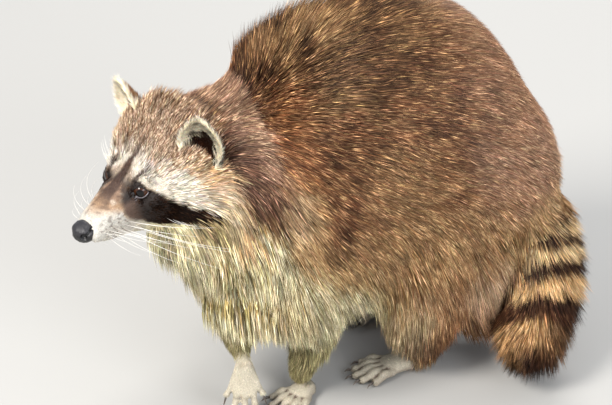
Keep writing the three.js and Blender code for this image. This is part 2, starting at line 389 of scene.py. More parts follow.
def folded(points):
    """Points of both sides brought to the left one."""
    return np.c_[np.abs(points[:, 0]), points[:, 1:]]


def spot_at(points, place, reach, edge=1.2, core=0.5):
    """1 in the core of an egg-shaped spot, 0 past its edge; both are shares of its reach."""
    return within(np.linalg.norm((points - place) / reach, axis=1), edge, core)


def fineness(points):
    """1 where the hide shows its own form, in the face, ears and feet, else 0."""
    head = in_head(points)
    face = within(head[:, 1], 30, 12) * within(head[:, 1], -90, -80)
    face *= within(np.abs(head[:, 0]), 70, 55) * within(head[:, 2], -60, -50)
    ears = np.zeros(len(points))
    for side in (1, -1):
        axes, at = ear_frame(side)
        ears = np.maximum(ears, spot_at((head - at) @ axes, 0, (30, 16, 34), 1.1, 0.95))
    return np.maximum(np.maximum(face, ears), within(points[:, 2], 34, 26))


SMOOTHING, BROADENING = 50, 130  # turns of each
KEPT_FACES = 0.27  # share of the faces that stay, the rest taken where the form is plain

hide = Hide(skin)
fine = fineness(hide.points)
for _ in range(SMOOTHING):
    relaxed = hide.spread(hide.points, 1, 0.8)
    hide.points += (relaxed - hide.points) * (1 - 0.97 * fine)[:, None]
# where legs, flanks and neck meet, the coat bridges the hollows, so the form is broader there
broad = (1 - fine) * within(hide.points[:, 2], 62, 90) * within(in_head(hide.points)[:, 1], 64, 92)
broad *= 1 - within(hide.points[:, 1], 188, 204)
for _ in range(BROADENING):
    relaxed = hide.spread(hide.points, 1, 0.9)
    hide.points += (relaxed - hide.points) * broad[:, None]
hide.store(skin)

group = skin.vertex_groups.new(name="plain")
rough = 1 - fine
for weight in (0.25, 0.5, 0.75, 1.0):
    chosen = np.where(np.abs(rough - weight) <= 0.125)[0]
    group.add(chosen.tolist(), weight, "REPLACE")
settled(skin, ("DECIMATE", {"ratio": KEPT_FACES, "vertex_group": "plain"}))


# ==== Face: lids, mouth and the finer mesh they need ===========================
# Bare rims close over each eyeball, and the lips part along each side of the muzzle.
# Both are pressed into the hide itself after its mesh is made finer there.

GAZE = unit(np.array([0.60, -0.78, 0.15]))  # where the left eye looks, in the head
MOUTH = np.array([(0, -62, -24.5), (5, -59, -26), (10, -52, -29), (13, -44, -31.5),
                  (15.5, -33, -34), (18, -21, -36), (21, -10, -36.5)], float)
# middle and half sizes of the nose pad
PAD_AT, PAD_SIZE = np.array([0, -57.5, -14.2]), np.array([11.5, 10, 10.2])


def eye_axes(side):
    """Columns: away from the nose, up, and out along the gaze."""
    gaze = GAZE * (side, 1, 1)
    up = unit(np.array([side * 0.10, 0.1, 1]) - gaze * np.dot(gaze, (side * 0.10, 0.1, 1)))
    return np.stack([np.cross(up, gaze) * side, up, gaze], 1)


def refined(obj, near):
    """Cuts each face that lies near into four."""
    work = bmesh.new()
    work.from_mesh(obj.data)
    centres = (np.array([f.calc_center_median() for f in work.faces]) - DATUM) * 1000
    chosen = np.where(near(in_head(centres)))[0]
    work.faces.ensure_lookup_table()
    edges = {e for i in chosen for e in work.faces[i].edges}
    bmesh.ops.subdivide_edges(work, edges=list(edges), cuts=1, use_grid_fill=True, smooth=0.6)
    bmesh.ops.triangulate(work, faces=[f for f in work.faces if len(f.verts) > 4])
    work.to_mesh(obj.data)
    work.free()


def from_eyes(local):
    """Distance from the middle of the nearer eyeball."""
    return np.linalg.norm(folded(local) - SOCKET, axis=1)


refined(skin, lambda p: (from_eyes(p) < 17) | ((p[:, 1] < -8) & (p[:, 2] < 8) & (p[:, 1] > -80)))
refined(skin, lambda p: from_eyes(p) < 11.5)


def opening(local, side):
    """Degrees inside the parted lids, less than 0 on the lids, and the angle off the gaze."""
    q = (local - SOCKET * (side, 1, 1)) @ eye_axes(side)
    far = np.linalg.norm(q, axis=1)
    across = np.degrees(np.arctan2(q[:, 0], q[:, 2]))
    rise = np.degrees(np.arctan2(q[:, 1], q[:, 2]))
    bow = np.clip(1 - (across / 54) ** 2, 0, None)
    inside = np.minimum(40 * bow**0.6 - rise, rise + 34 * bow**0.72)
    inside -= np.clip(np.abs(across) - 54, 0, None)
    corner = 4.5 - np.abs(rise + 7) - np.clip(-across - 66, 0, None) - np.clip(across + 42, 0, None)
    off = np.degrees(np.arccos(np.clip(q[:, 2] / np.maximum(far, 1e-6), -1, 1)))
    return np.maximum(inside, corner), off, far


def with_lids(local):
    """Wraps the hide over each eyeball and lets its rims roll in at the opening."""
    for side in (1, -1):
        centre = SOCKET * (side, 1, 1)
        inside, off, far = opening(local, side)
        lid = EYE_RADIUS + 0.22 + 0.95 * within(-inside, 0, 9)
        lid -= 0.3 * np.exp(-((inside + 17) / 3.5) ** 2)
        lid = np.where(inside > 0, lid - 2.2 * within(inside, 0, 3.2), lid)
        hold = within(off, 88, 56) * (far < 14)
        shaped = far + (lid - far) * hold
        local = centre + (local - centre) * (shaped / np.maximum(far, 1e-6))[:, None]
    return local


def from_mouth(local):
    """Distance from the line of the lips, and height above it."""
    own = folded(local)
    gap = np.full(len(local), 1e3)
    above = np.zeros(len(local))
    for point in curve_at(MOUTH, np.linspace(0, 1, 90)):
        apart = np.linalg.norm(own - point, axis=1)
        nearer = apart < gap
        gap[nearer] = apart[nearer]
        above[nearer] = own[nearer, 2] - point[2]
    return gap, above


def with_mouth(local):
    """Presses in the line of the lips and sets the lower jaw back under it."""
    close = np.where((local[:, 1] < -2) & (local[:, 1] > -75) & (local[:, 2] < 0))[0]
    gap, above = from_mouth(local[close])
    press = 1.5 * np.exp(-(gap / 0.8) ** 2)
    jaw = within(-above, 0.2, 3) * within(local[close, 1], -4, -16)
    inward = unit(local[close] * [1, 0, 1] - [0, 0, -15])
    local[close] -= inward * (press + 1.6 * jaw)[:, None]
    return local


hide = Hide(skin)
local = in_head(hide.points)
facial = np.where((local[:, 1] < 30) & (local[:, 1] > -90) & (local[:, 2] > -70))[0]
smooth = hide.spread(hide.points, 12, 0.6)
hide.points[facial] = smooth[facial]
local = in_head(hide.points)
local = with_mouth(with_lids(local))
hide.points[facial] = on_head(local)[facial]
hide.store(skin)


# ==== Lie of the coat ===========================================================
# Every point of the hide learns which part of the animal it belongs to, how far along
# that part it is, and which way hair grows there: back from the nose, down the legs
# and along the tail, with its own weight pulling it down the flanks.

KINDS = list(PIECES)
TOWARD_TAIL = {"head": -1, "ear": 1, "neck": -1, "trunk": -1, "tail": 1, "foreleg": 1, "shank": 1,
               "foot": 1}


def finder(points):
    """A function that gives the number of the nearest of these points to each place."""
    tree = kdtree.KDTree(len(points))
    for i, point in enumerate(points):
        tree.insert(point, i)
    tree.balance()
    return lambda places: np.array([tree.find(place)[1] for place in places])


def nearest_samples(points):
    """For each point, the kind of the nearest shape, its share along it and its flow."""
    kinds, shares, flows, at = [], [], [], []
    for k, kind in enumerate(KINDS):
        for shape in PIECES[kind]:
            at.append(shape[0])
            kinds.append(np.full(len(shape[0]), k))
            shares.append(shape[2])
            flows.append(shape[3] * TOWARD_TAIL[kind])
    found = finder(np.vstack(at))(points)
    return np.concatenate(kinds)[found], np.concatenate(shares)[found], np.vstack(flows)[found]


def normals_of(obj):
    flat = np.empty(len(obj.data.vertices) * 3)
    obj.data.vertices.foreach_get("normal", flat)
    return flat.reshape(-1, 3)


hide = Hide(skin)
surface = {"at": hide.points, "normal": normals_of(skin)}
kind, share, flow = nearest_samples(hide.points)
surface["belongs"] = hide.spread(np.eye(len(KINDS))[kind], 16)
surface["share"] = hide.spread(share, 2)
surface["flow"] = unit(hide.spread(flow, 14))


def bumps(points, size, seed):
    """Soft noise about -1 to 1 whose swells are about a size in millimetres across."""
    draw = np.random.default_rng(seed)
    total = np.zeros(len(points))
    for _ in range(9):
        way = unit(draw.normal(size=3)) * draw.uniform(0.7, 1.6) * math.pi / size
        total += np.sin(points @ way + draw.uniform(0, 6.3))
    return np.clip(total / 3.2, -1.4, 1.4)


def share_of(belongs, *kinds):
    return sum(belongs[:, KINDS.index(kind)] for kind in kinds)


SWIRL = 70  # how many mm across the swells in the lie of the coat are


def lie_of(at, normal, belongs, flow):
    """The way the coat lies along the hide, before it is lifted."""
    head = in_head(at)
    back, high = at[:, 1], at[:, 2]
    rear = within(back, 40, 110)
    down = share_of(belongs, "trunk", "neck") * (
        0.10 + (0.7 - 0.2 * rear) * within(high, 330, 130)
        + 0.9 * within(back, -20, -120) * within(high, 300, 220) + 0.95 * within(high, 235, 130))
    way = flow + 0.13 * np.stack([bumps(at, SWIRL, seed) for seed in (21, 22, 23)], 1)
    way[:, 2] -= down
    cheek = share_of(belongs, "head") * within(head[:, 1], -5, 35) * within(head[:, 2], 20, -30)
    side = np.sign(head[:, :1])
    way += cheek[:, None] * (side * HEAD_AXES[:, 0] * 0.5 + np.array([0, 0, -0.3]))
    way -= normal * np.sum(way * normal, axis=1, keepdims=True)
    return unit(way)


def coat_plan(at, normal, belongs, share):
    """Length and width in mm, lift in degrees, how much of it is kept to the tip, droop,
    and tufts per square mm."""
    head = in_head(at)
    y, z = head[:, 1], head[:, 2]
    back, high = at[:, 1], at[:, 2]
    along = lambda values, places=(0, 0.5, 1): np.interp(share, places, values)
    top = within(normal[:, 2], 0.35, 0.9)
    under = within(normal[:, 2], -0.25, -0.8)
    hump = within(normal[:, 2], -0.1, 0.7) * within(back, 50, -50) * within(high, 210, 270)
    chest = within(back, -60, -130) * within(high, 270, 210)
    hang = within(high, 190, 110) * (1 - 0.9 * within(back, -30, -70) * within(high, 150, 110))
    cheek = within(z, 4, -22) * within(y, -2, 32)
    hair = np.interp(y, [-60, -40, -20, -5, 10, 25, 45, 70, 90],
                     [2.4, 3.4, 4.2, 5.2, 7, 10, 16, 22, 27])
    hair = hair * (1 + 0.75 * cheek) * (0.42 + 0.58 * within(from_eyes(head), 10, 19))
    brow = spot_at(folded(head), (22, 12, 16), (13, 16, 9)) * (1 + 0.7 * (head[:, 0] < 0))
    table = {
        "trunk": (31 + 3 * top + 6 * chest + 23 * hang + 3 * hump,
                  0.95 + 0.05 * chest + 0.15 * hang,
                  21 + 18 * hump + 5 * top + 8 * within(back, 90, 190), 0.5 + 0.4 * hump,
                  0.3 + 0.6 * hang, 0.95 - 0.65 * under - 0.2 * chest),
        "neck": (26 + 12 * chest, 0.95, 30 + 8 * top, 0.6, 0.25 + 0.25 * chest, 0.9 - 0.2 * chest),
        "head": (hair * (1 + 0.75 * brow),
                 np.interp(y, [-60, -20, 0, 20, 80], [0.55, 0.65, 0.85, 1.0, 1.1]),
                 14 + 16 * cheek + 20 * within(y, 10, 70) - 4 * within(y, 0, -20) + 16 * brow, 0.7,
                 0.05 + 0.15 * cheek,
                 np.interp(y, [-60, -20, 0, 10, 40, 80], [2.4, 2.2, 2.0, 1.7, 1.1, 0.9])),
        "ear": (8.0, 0.7, 33, 0.8, 0, 1.5),
        "tail": (32 - 6 * within(share, 0.9, 1.0), 1.0, 47, 0.8, 0.05, 1.15),
        "foreleg": (along([44, 34, 13, 6], [0, 0.3, 0.62, 1]), along([1.1, 0.8, 0.6], [0, 0.6, 1]),
                    18, 0.5, along([0.6, 0], [0, 0.5]), along([0.7, 1.0, 1.4])),
        "shank": (along([42, 40, 30, 13], [0, 0.35, 0.7, 1]), along([1.15, 1.0, 0.65], [0, 0.6, 1]),
                  20, 0.5, along([0.5, 0.2], [0, 1]), along([0.55, 0.65, 1.2])),
        "foot": (3.4, 0.55, 13, 0.6, 0, 1.6),
    }
    plan = np.zeros((6, len(at)))
    for k, kind in enumerate(KINDS):
        row = np.stack([np.broadcast_to(np.asarray(v, float), len(at)) for v in table[kind]])
        plan += row * belongs[:, k]
    return plan


# ==== Markings ==================================================================
# The dyes of the coat: black mask, white brows and muzzle, grizzled crown, brown back
# with golden bands on the hairs, cream chest and belly, ringed tail and pale paws.


def dye(red, green, blue):
    """A colour as the eye names it, out of 255, made linear."""
    value = np.array([red, green, blue]) / 255
    return np.where(value <= 0.04045, value / 12.92, ((value + 0.055) / 1.055) ** 2.4)


# each place has the colour of the hair's shaft, of the band on it and of its tip, and
# the part of its hairs that are banded
DYES = {
    "back": (dye(62, 40, 27), dye(184, 138, 92), dye(60, 42, 32), 0.50),
    "flank": (dye(98, 60, 36), dye(214, 166, 118), dye(98, 64, 44), 0.6),
    "rump": (dye(138, 96, 68), dye(236, 192, 152), dye(152, 112, 88), 0.68),
    "gold": (dye(136, 98, 62), dye(234, 194, 142), dye(170, 132, 92), 0.7),
    "saddle": (dye(62, 34, 20), dye(150, 108, 74), dye(52, 34, 24), 0.40),
    "cream": (dye(146, 128, 84), dye(240, 230, 194), dye(222, 210, 170), 0.75),
    "fringe": (dye(120, 88, 50), dye(222, 196, 146), dye(190, 156, 108), 0.7),
    "thigh": (dye(122, 80, 50), dye(226, 184, 138), dye(172, 128, 90), 0.6),
    "nape": (dye(134, 98, 76), dye(232, 194, 158), dye(166, 130, 108), 0.66),
    "ruff": (dye(70, 44, 34), dye(150, 110, 88), dye(84, 58, 46), 0.35),
    "crown": (dye(106, 74, 50), dye(242, 208, 172), dye(152, 118, 90), 0.66),
    "forehead": (dye(134, 98, 72), dye(252, 226, 196), dye(214, 184, 156), 0.7),
    "cheek_back": (dye(186, 142, 98), dye(236, 206, 160), dye(216, 178, 130), 0.6),
    "russet": (dye(128, 78, 46), dye(222, 160, 108), dye(134, 86, 56), 0.55),
    "honey": (dye(214, 176, 124), dye(250, 226, 182), dye(238, 206, 156), 0.6),
    "under_tail": (dye(200, 162, 126), dye(250, 224, 192), dye(232, 198, 162), 0.6),
    "brow": (dye(218, 204, 182), dye(248, 242, 232), dye(240, 232, 218), 0.6),
    "cheek": (dye(206, 178, 144), dye(248, 230, 200), dye(232, 208, 174), 0.6),
    "tan": (dye(190, 150, 112), dye(244, 218, 184), dye(220, 186, 150), 0.5),
    "mask": (dye(22, 13, 8), dye(66, 42, 28), dye(30, 18, 12), 0.35),
    # painted shadow under the cheek, below the rear of the mask
    "olive": (dye(104, 78, 38), dye(180, 144, 84), dye(138, 108, 58), 0.45),
    "smoke": (dye(96, 74, 62), dye(146, 118, 100), dye(92, 70, 60), 0.4),
    "bridge": (dye(128, 94, 72), dye(232, 202, 172), dye(166, 132, 106), 0.6),
    "stripe": (dye(56, 36, 28), dye(104, 74, 58), dye(54, 36, 28), 0.3),
    "muzzle": (dye(222, 215, 202), dye(236, 232, 224), dye(226, 220, 210), 0.6),
    # throat: cream, lightened further as painted light against the shade under the head
    "throat": (dye(234, 220, 174), dye(250, 242, 206), dye(246, 236, 194), 0.6),
    "ear_rim": (dye(250, 234, 200), dye(255, 248, 228), dye(255, 250, 234), 0.8),
    "ear_back": (dye(110, 76, 54), dye(190, 150, 112), dye(150, 112, 82), 0.5),
    "ear_inside": (dye(248, 232, 198), dye(255, 250, 232), dye(255, 246, 222), 0.7),
    "ear_dark": (dye(30, 14, 8), dye(60, 36, 24), dye(36, 18, 12), 0.2),
    "tail_pale": (dye(204, 156, 102), dye(252, 218, 166), dye(232, 186, 132), 0.7),
    "tail_dark": (dye(46, 28, 20), dye(98, 66, 46), dye(42, 26, 20), 0.3),
    "leg": (dye(132, 120, 80), dye(194, 182, 138), dye(172, 160, 116), 0.5),
    "paw": (dye(200, 188, 164), dye(236, 230, 212), dye(226, 216, 196), 0.5),
    "toe": (dye(128, 108, 96), dye(170, 150, 134), dye(140, 120, 106), 0.4),
}

# places with a dye of their own, on both sides of the trunk and neck, and one painted sheen:
# the dye, the middle of the place, its reach and how much of the dye is laid
PATCHES = (
    ("back", (48, 12, 345), (60, 74, 46), 0.75),
    ("saddle", (52, 20, 340), (40, 34, 30), 0.6),
    ("gold", (6, -40, 366), (40, 40, 30), 0.6),
    ("back", (34, -36, 342), (26, 26, 22), 0.8),
    ("gold", (97, 25, 238), (40, 44, 44), 0.4),
    ("russet", (62, -78, 272), (40, 40, 64), 0.7),
    ("saddle", (92, -24, 206), (40, 9, 46), 0.5),
    ("saddle", (92, 4, 218), (40, 7, 20), 0.6),
    ("gold", (88, -66, 190), (40, 24, 70), 0.75),
    ("nape", (52, -96, 246), (24, 22, 34), 0.4),
    ("ruff", (62, -107, 244), (17, 13, 26), 0.85),
    ("nape", (90, -84, 226), (34, 24, 34), 1),
    # painted sheen of back light along the rear edge of the rump
    ("under_tail", (55, 205, 205), (44, 34, 44), 0.35),
    ("saddle", (94, -42, 188), (30, 16, 24), 0.75),
    ("honey", (84, -80, 222), (30, 24, 30), 0.6),
    ("gold", (107, 40, 184), (40, 44, 34), 0.5),
    ("honey", (96, 178, 153), (40, 28, 34), 0.8),
    ("saddle", (97, -14, 284), (30, 26, 26), 0.35),
    ("nape", (105, 169, 234), (34, 26, 34), 0.4),
    ("nape", (114, 118, 237), (34, 30, 34), 0.4),
    ("under_tail", (98, 109, 98), (26, 24, 30), 0.5),
    ("saddle", (62, -76, 281), (24, 22, 24), 0.3),
)
# heights in mm of the hem of the brown flanks, by the distance back
HEM = ([-170, -130, -112, -105, -87, -74, -42, -3, 20, 50, 90, 140],
       [262, 254, 240, 230, 206, 186, 162, 138, 118, 76, 60, 60])
# pale rings by the share of the tail's length
RINGS = ([0.395, 0.408, 0.442, 0.451, 0.487, 0.496, 0.535, 0.545, 0.595, 0.608, 0.668, 0.69,
          0.785, 0.81, 0.91, 0.965, 1.02, 1.1],
         [0, 1, 1, 0, 0, 1, 1, 0, 0, 1, 1, 0, 0, 0.9, 1, 0.3, 0, 0])
# in the face, q runs from the bridge of the muzzle round the cheek in millimetres
MASK_TOP = ([-5, -2, 4, 10, 16, 22, 35, 50, 61, 80, 86],
            [-1, 8.5, 10.5, 11.5, 9.5, 3, -7, -19.5, -28.5, -39.5, -43])
MASK_LOW = ([-5, -3, 4, 22, 44, 62, 80, 86], [-2, -12, -24, -41, -50, -49, -43.5, -43])
BROW_TOP = ([0, 12, 18, 38, 60, 80], [22, 25, 22, 17, 8, -9])


class Palette:
    """Layers dyes over each other, each where its own mask is 1."""

    def __init__(self, count):
        self.values = np.zeros((count, 10))

    def lay(self, name, mask):
        shaft, band, tip, banded = DYES[name]
        wanted = np.concatenate([shaft, band, tip, [banded]])
        mask = np.clip(np.broadcast_to(mask, len(self.values)), 0, 1)[:, None]
        self.values += (wanted - self.values) * mask


def whisker_pits():
    """Where the whiskers grow beside the nose, in the head: row, column, back and up."""
    for row, height in enumerate((-14, -18.5, -23)):
        for k in range(5):
            back = -49 + 6.0 * k + 2.3 * row + 1.1 * math.sin(5 * k + row)
            yield row, k, back, height, 0.8 * math.sin(3 * k + 2 * row)


def dye_trunk(lay, at, belongs, share, throat):
    """Dark along the spine, golden brown flanks, redder behind, cream below."""
    back, high = at[:, 1], at[:, 2]
    drift = bumps(at * (1, 0.75, 0.6), 74, 5)
    spot = bumps(at, 24, 6)
    lay("flank", 1)
    lay("gold", within(drift + 0.6 * spot, 0.1, -1.1) * 0.7)
    lay("saddle", 0.8 * within(drift + 0.5 * spot, 0.1, 1.3)
        * (0.45 + 0.55 * within(high, 180, 260)))
    spine = within(np.abs(at[:, 0] + 2), 62, 18) * within(high, 250, 300)
    lay("back", spine * (0.7 + 0.3 * spot))
    lay("rump", within(back, 60, 150) * 0.9)
    own = folded(at + (2, 0, 0)) + 9 * np.stack([spot, drift, -spot], 1)
    around = lambda place, reach: spot_at(own, place, reach, 1.25, 0.45)
    for name, place, reach, much in PATCHES:
        lay(name, around(place, reach) * much)
    lay("gold", within(high + 14 * spot, 216, 160) * within(back, -60, -10) * 0.85)
    lay("nape", within(share_of(belongs, "neck"), 0.2, 0.7) * within(high, 215, 245))
    edge = np.interp(back, *HEM) - high + 9 * drift + 5 * spot
    lay("fringe", within(edge, -30, 4) * within(back, 120, 40))
    lay("cream", within(edge, -8, 22) * within(back, 44, 4))
    lay("fringe", within(back, 112, 140) * within(high, 160, 110))
    lay("thigh", within(high + 8 * spot, 160, 85) * within(back, 30, 60))
    lay("under_tail", around((76, 126, 84), (60, 34, 46)) * within(at[:, 0], 8, 30) * 0.9)
    # the throat under the chin: cream hair, lightened with painted light against the head's shade
    lay("throat", within(back, -130, -150) * within(high, 132, 162) * within(throat, -20, -40)
        * within(np.abs(at[:, 0]), 50, 26) * 0.9)
    lay("leg", around((63, -117, 168), (30, 26, 30)) * 0.5)
    lay("fringe", around((103, -79, 126), (34, 26, 26)) * 0.4)
    # legs and paws
    lay("leg", share_of(belongs, "foreleg"))
    shin = share_of(belongs, "shank")
    lay("thigh", shin)
    lay("russet", shin * within(high, 90, 40) * within(back, 60, 90) * 0.7)
    lay("saddle", shin * within(high, 80, 40) * within(back, 66, 90) * 0.8)
    lay("cream", shin * within(back, 74, 48) * (at[:, 0] > 0) * 0.5)
    lay("russet", within(high, 120, 60) * within(back, 60, 96) * share_of(belongs, "trunk") * 0.5)
    lay("saddle", around((85, 62, 46), (34, 26, 30)) * 0.6)
    lay("saddle", around((105, 57, 57), (30, 28, 30)) * 0.5)
    lay("leg", shin * within(share, 0.72, 0.95))
    foot = share_of(belongs, "foot")
    lay("paw", foot)
    # browner toes close to the floor: partly their own colour, partly painted shade where the paws
    # meet the floor
    lay("toe", foot * within(high + 3 * spot, 13, 3) * 0.35)
    return spot


def dye_tail(lay, normal, belongs, share):
    """Dark rings on gold, slanting a little, with a golden spot before the dark tip."""
    tail = within(share_of(belongs, "tail"), 0.25, 0.6) * within(share, 0.365, 0.39)
    side_on = np.sum(normal * (0.44, 0.9, 0), axis=1)
    pale = np.interp(share - 0.045 * within(side_on, 0, -0.8), *RINGS)
    lay("tail_dark", tail)
    lay("tail_pale", tail * pale * (1 - 0.8 * within(side_on, 0.1, 0.7) * within(share, 0.74, 0.8)))
    lay("honey", tail * pale * within(share, 0.36, 0.4) * within(share, 0.56, 0.53) * 0.7)
    lay("russet", tail * (1 - pale) * within(share, 0.68, 0.76) * 0.15)
    lay("russet", tail * pale * within(share, 0.78, 0.9) * 0.4)


def dye_head(lay, at, head, belongs, spot):
    """Grizzled crown, pale brows, cheeks and muzzle, and the black mask edged with tan."""
    local = folded(head)
    a, y, z = local.T
    face_spot = lambda place, reach, *edges: spot_at(local, place, reach, *edges)
    back_edge = np.interp(z, [-60, -33, -10, 12, 26, 42], [50, 53, 56, 60, 82, 90])
    skull = within(y - back_edge, 6, -6) * within(a, 118, 98) * within(z, -85, -66)
    skull *= 1 - share_of(belongs, "foreleg", "foot")
    q = (a + y) / math.sqrt(2)
    lay("ruff", within(y - back_edge, -4, 3) * within(y, 96, 74) * within(a, 38, 52)
        * within(z, 34, 20) * within(z, -62, -40) * 0.85)
    lay("crown", skull)
    lay("forehead", skull * within(y + 6 * spot, 88, 40) * within(z, -5, 5) * 0.75)
    lay("cheek", skull * within(z, 22, -4) * within(y, -5, 20))
    lay("cheek_back", skull * within(q, 52, 76) * within(z, 20, 0))
    lay("honey", face_spot((68, 50, -36), (26, 20, 22), 1.2, 0.6))
    lay("bridge", skull * within(y, 2, -10))
    lay("tan", skull * within(y + 3 * spot, -22, -38) * 0.75)
    # brows, the line over each eye and the stripe down the bridge
    mask_top, mask_low = np.interp(q, *MASK_TOP), np.interp(q, *MASK_LOW)
    fleck = bumps(at, 9, 7)
    brow_top = np.interp(q, *BROW_TOP) + 3.5 * fleck
    brow = within(z, mask_top - 2, mask_top + 2) * within(z, brow_top + 7, brow_top - 7)
    lay("brow", skull * brow * within(q, 7, 12) * (1 - 0.6 * within(q, 54, 80)))
    inner = within(a, 2.4, 4.6) * within(a, 16.5, 13.5) * within(y, -10, -5) * within(y, 38, 8)
    inner = inner * within(z, 4, 7)
    lay("brow", skull * inner * 0.35)
    lay("stripe", skull * 0.85 * within(np.abs(a - 16.5 - 0.12 * y), 3.4, 1.2) * within(y, -5, 0)
        * within(y, 20, 9) * within(z, 8, 11))
    wide = np.interp(y, [-50, -30, -8, 20, 45], [5, 8, 5.6, 2.6, 3]) + 0.8 * fleck
    lay("stripe", skull * within(a, wide + 1.8, wide - 1.8) * within(y, -44, -16)
        * within(y, 46, 12) * within(z, -8, -2) * 0.95)
    # muzzle, with a dark spot at each whisker
    snout = skull * within(y, -6, -16)
    upper = np.interp(y, [-60, -40, -20, -8], [0, -3, -9, -20])
    lay("tan", snout * within(y, -36, -20) * within(z, 2, -4) * within(z, -22, -12) * 0.5)
    lay("muzzle", snout * within(z, upper + 5, upper - 4))
    lay("muzzle", skull * within(y, -42, -54) * 0.7)
    for _, _, pit, height, waver in whisker_pits():
        gap = np.hypot(y - pit, z - (height - 0.13 * (y + 50) + waver))
        lay("stripe", skull * within(gap, 1.4, 0.4) * (a > 6) * 0.6)
    mottle = bumps(at, 3.4, 9)
    lay("stripe", snout * within(mottle, 0.35, 1.1) * within(z, -22, -14) * within(a, 2, 5) * 0.3)
    lay("smoke", snout * within(mottle, 0.3, 1.0) * within(y, -50, -42) * 0.35)
    lay("brow", snout * within(mottle, -0.3, -1.0) * within(y, -48, -40) * within(a, 5, 8) * 0.4)
    # the mask and the hair round it
    inside = np.minimum(np.minimum(mask_top - z, z - mask_low), (q + 5) * 1.2)
    below = skull * within(mask_low - z, -3, 3) * within(y, -20, 0)
    lay("tan", skull * within(inside, -7, -1) * within(q, 6, -2) * within(z, 3, -3) * 0.7)
    lay("throat", below * within(q, 100, 80))
    lay("cheek_back", below * within(q, 56, 76) * within(z, -62, -44) * 0.5)
    # painted shadow under the cheek, beneath the rear tip of the mask
    lay("olive", 0.75 * face_spot((63, 36, -60), (24, 20, 14), 1.25, 0.6))
    lay("muzzle", below * within(y, 2, -12))
    inside = inside + 1.2 * fleck + 0.8 * bumps(at, 4, 8)
    lay("mask", skull * within(inside / (2.2 + 5 * within(q, 16, 0)), -1, 1))
    lay("smoke", skull * within(inside, 0, 3) * within(q, 14, 2) * within(z, 0, -6) * 0.85)


def dye_ears(lay, at, head, normal, belongs):
    """Brown behind, cream inside and along the rim, with painted shadow deep in the left cup."""
    for side in (1, -1):
        axes, where = ear_frame(side)
        own = (head - where) @ axes
        r = np.hypot(own[:, 0] / EAR_WIDE, own[:, 2] / EAR_TALL)
        mine = within(share_of(belongs, "ear"), 0.3, 0.6) * (np.sign(head[:, 0]) == side)
        facing = np.sum((normal @ HEAD_AXES) @ axes * (0, 1, 0), axis=1)
        cup = mine * within(facing, 0.1, -0.3)
        lay("ear_back", mine)
        lay("ear_inside", cup)
        off = np.hypot((own[:, 0] - side) / 14, (own[:, 2] + 9) / 24) + 0.22 * bumps(at, 5, 12)
        # painted shadow in the hollow of the left ear's cup; the right cup has none
        lay("ear_dark", cup * within(off, 1.15, 0.8) * (side > 0))
        lay("ear_rim", mine * within(r, 0.80, 0.92))
        lay("tan", mine * within(own[:, 2], -14, -26) * within(own[:, 0] * side, 4, -8) * 0.7)


def markings(at, normal, belongs, share):
    """Dyes at points on the outside of the coat."""
    coat = Palette(len(at))
    head = in_head(at)
    spot = dye_trunk(coat.lay, at, belongs, share, head[:, 2])
    dye_tail(coat.lay, normal, belongs, share)
    dye_head(coat.lay, at, head, belongs, spot)
    dye_ears(coat.lay, at, head, normal, belongs)
    return coat.values


# ==== Skin: colour, unwrap and finish ===========================================
# Dark hide under the coat, dyed in the same pattern, bare and moist at the lids and lips,
# with a painted reflection along each lower lid, and bare dark skin and painted shade between
# the toes. Its unwrap also places the tufts on their own charts.

FLESH = ["head", "neck", "chest", "barrel", "rump", "tail_base", "tail_middle", "tail_tip"] + [
    f"{piece}_{side}" for piece in ("ear", "shoulder", "haunch", "foreleg", "shank", "foot_front",
                                    "foot_hind") for side in ("left", "right")]
LID_BLACK, LID_SKY_REFLECTION, LIP_BLACK = dye(16, 12, 12), dye(126, 120, 124), dye(40, 30, 28)
TOE_GAP_SKIN_AND_SHADE = dye(84, 62, 52)


def paint_points(mesh, name, values):
    """Stores one colour at each point of a mesh."""
    layer = mesh.color_attributes.new(name, "FLOAT_COLOR", "POINT")
    filled = np.ones((len(mesh.vertices), 4), np.float32)
    filled[:, :values.shape[1]] = values
    layer.data.foreach_set("color", filled.ravel())


def grade_points(mesh, name, values):
    """Stores one number at each point of a mesh."""
    layer = mesh.attributes.new(name, "FLOAT", "POINT")
    layer.data.foreach_set("value", np.asarray(values, np.float32))


dyed = markings(surface["at"], surface["normal"], surface["belongs"], surface["share"])
hide_colour = dyed[:, :3] * 0.72 + dyed[:, 3:6] * 0.12
local = in_head(surface["at"])
bare = np.zeros(len(local))
# between the toes the skin is bare and dark, and the hollows there are darkened further with
# painted shade
hollow = np.sum((hide.spread(surface["at"], 8) - surface["at"]) * surface["normal"], axis=1)
crease = within(hollow, 0.12, 0.55) * share_of(surface["belongs"], "foot")
hide_colour += (TOE_GAP_SKIN_AND_SHADE - hide_colour) * crease[:, None] * 0.85
for side in (1, -1):
    inside, off, far = opening(local, side)
    rim = (off < 100) * (far < 12)
    lid = rim * within(inside, -7.5, -4.5)
    bare = np.maximum(bare, lid)
    hide_colour += (LID_BLACK - hide_colour) * lid[:, None]
    outer = ((local - SOCKET * (side, 1, 1)) @ eye_axes(side))
    # a painted reflection of the sky along the lower, outer edge of each lid
    sky_reflection = rim * within(inside, -5.5, -3.5) * within(inside, 1.5, 0.2)
    sky_reflection = sky_reflection * within(outer[:, 1] - 0.35 * outer[:, 0], 0.5, -2.5)
    hide_colour += (LID_SKY_REFLECTION - hide_colour) * sky_reflection[:, None]
gap, above = from_mouth(local)
lips = within(gap, 1.2, 0.7) * (local[:, 1] < -6)
hide_colour += (LIP_BLACK - hide_colour) * lips[:, None]
bare = np.maximum(bare, lips)
paint_points(skin.data, "hide_colour", hide_colour)
grade_points(skin.data, "bare", bare)

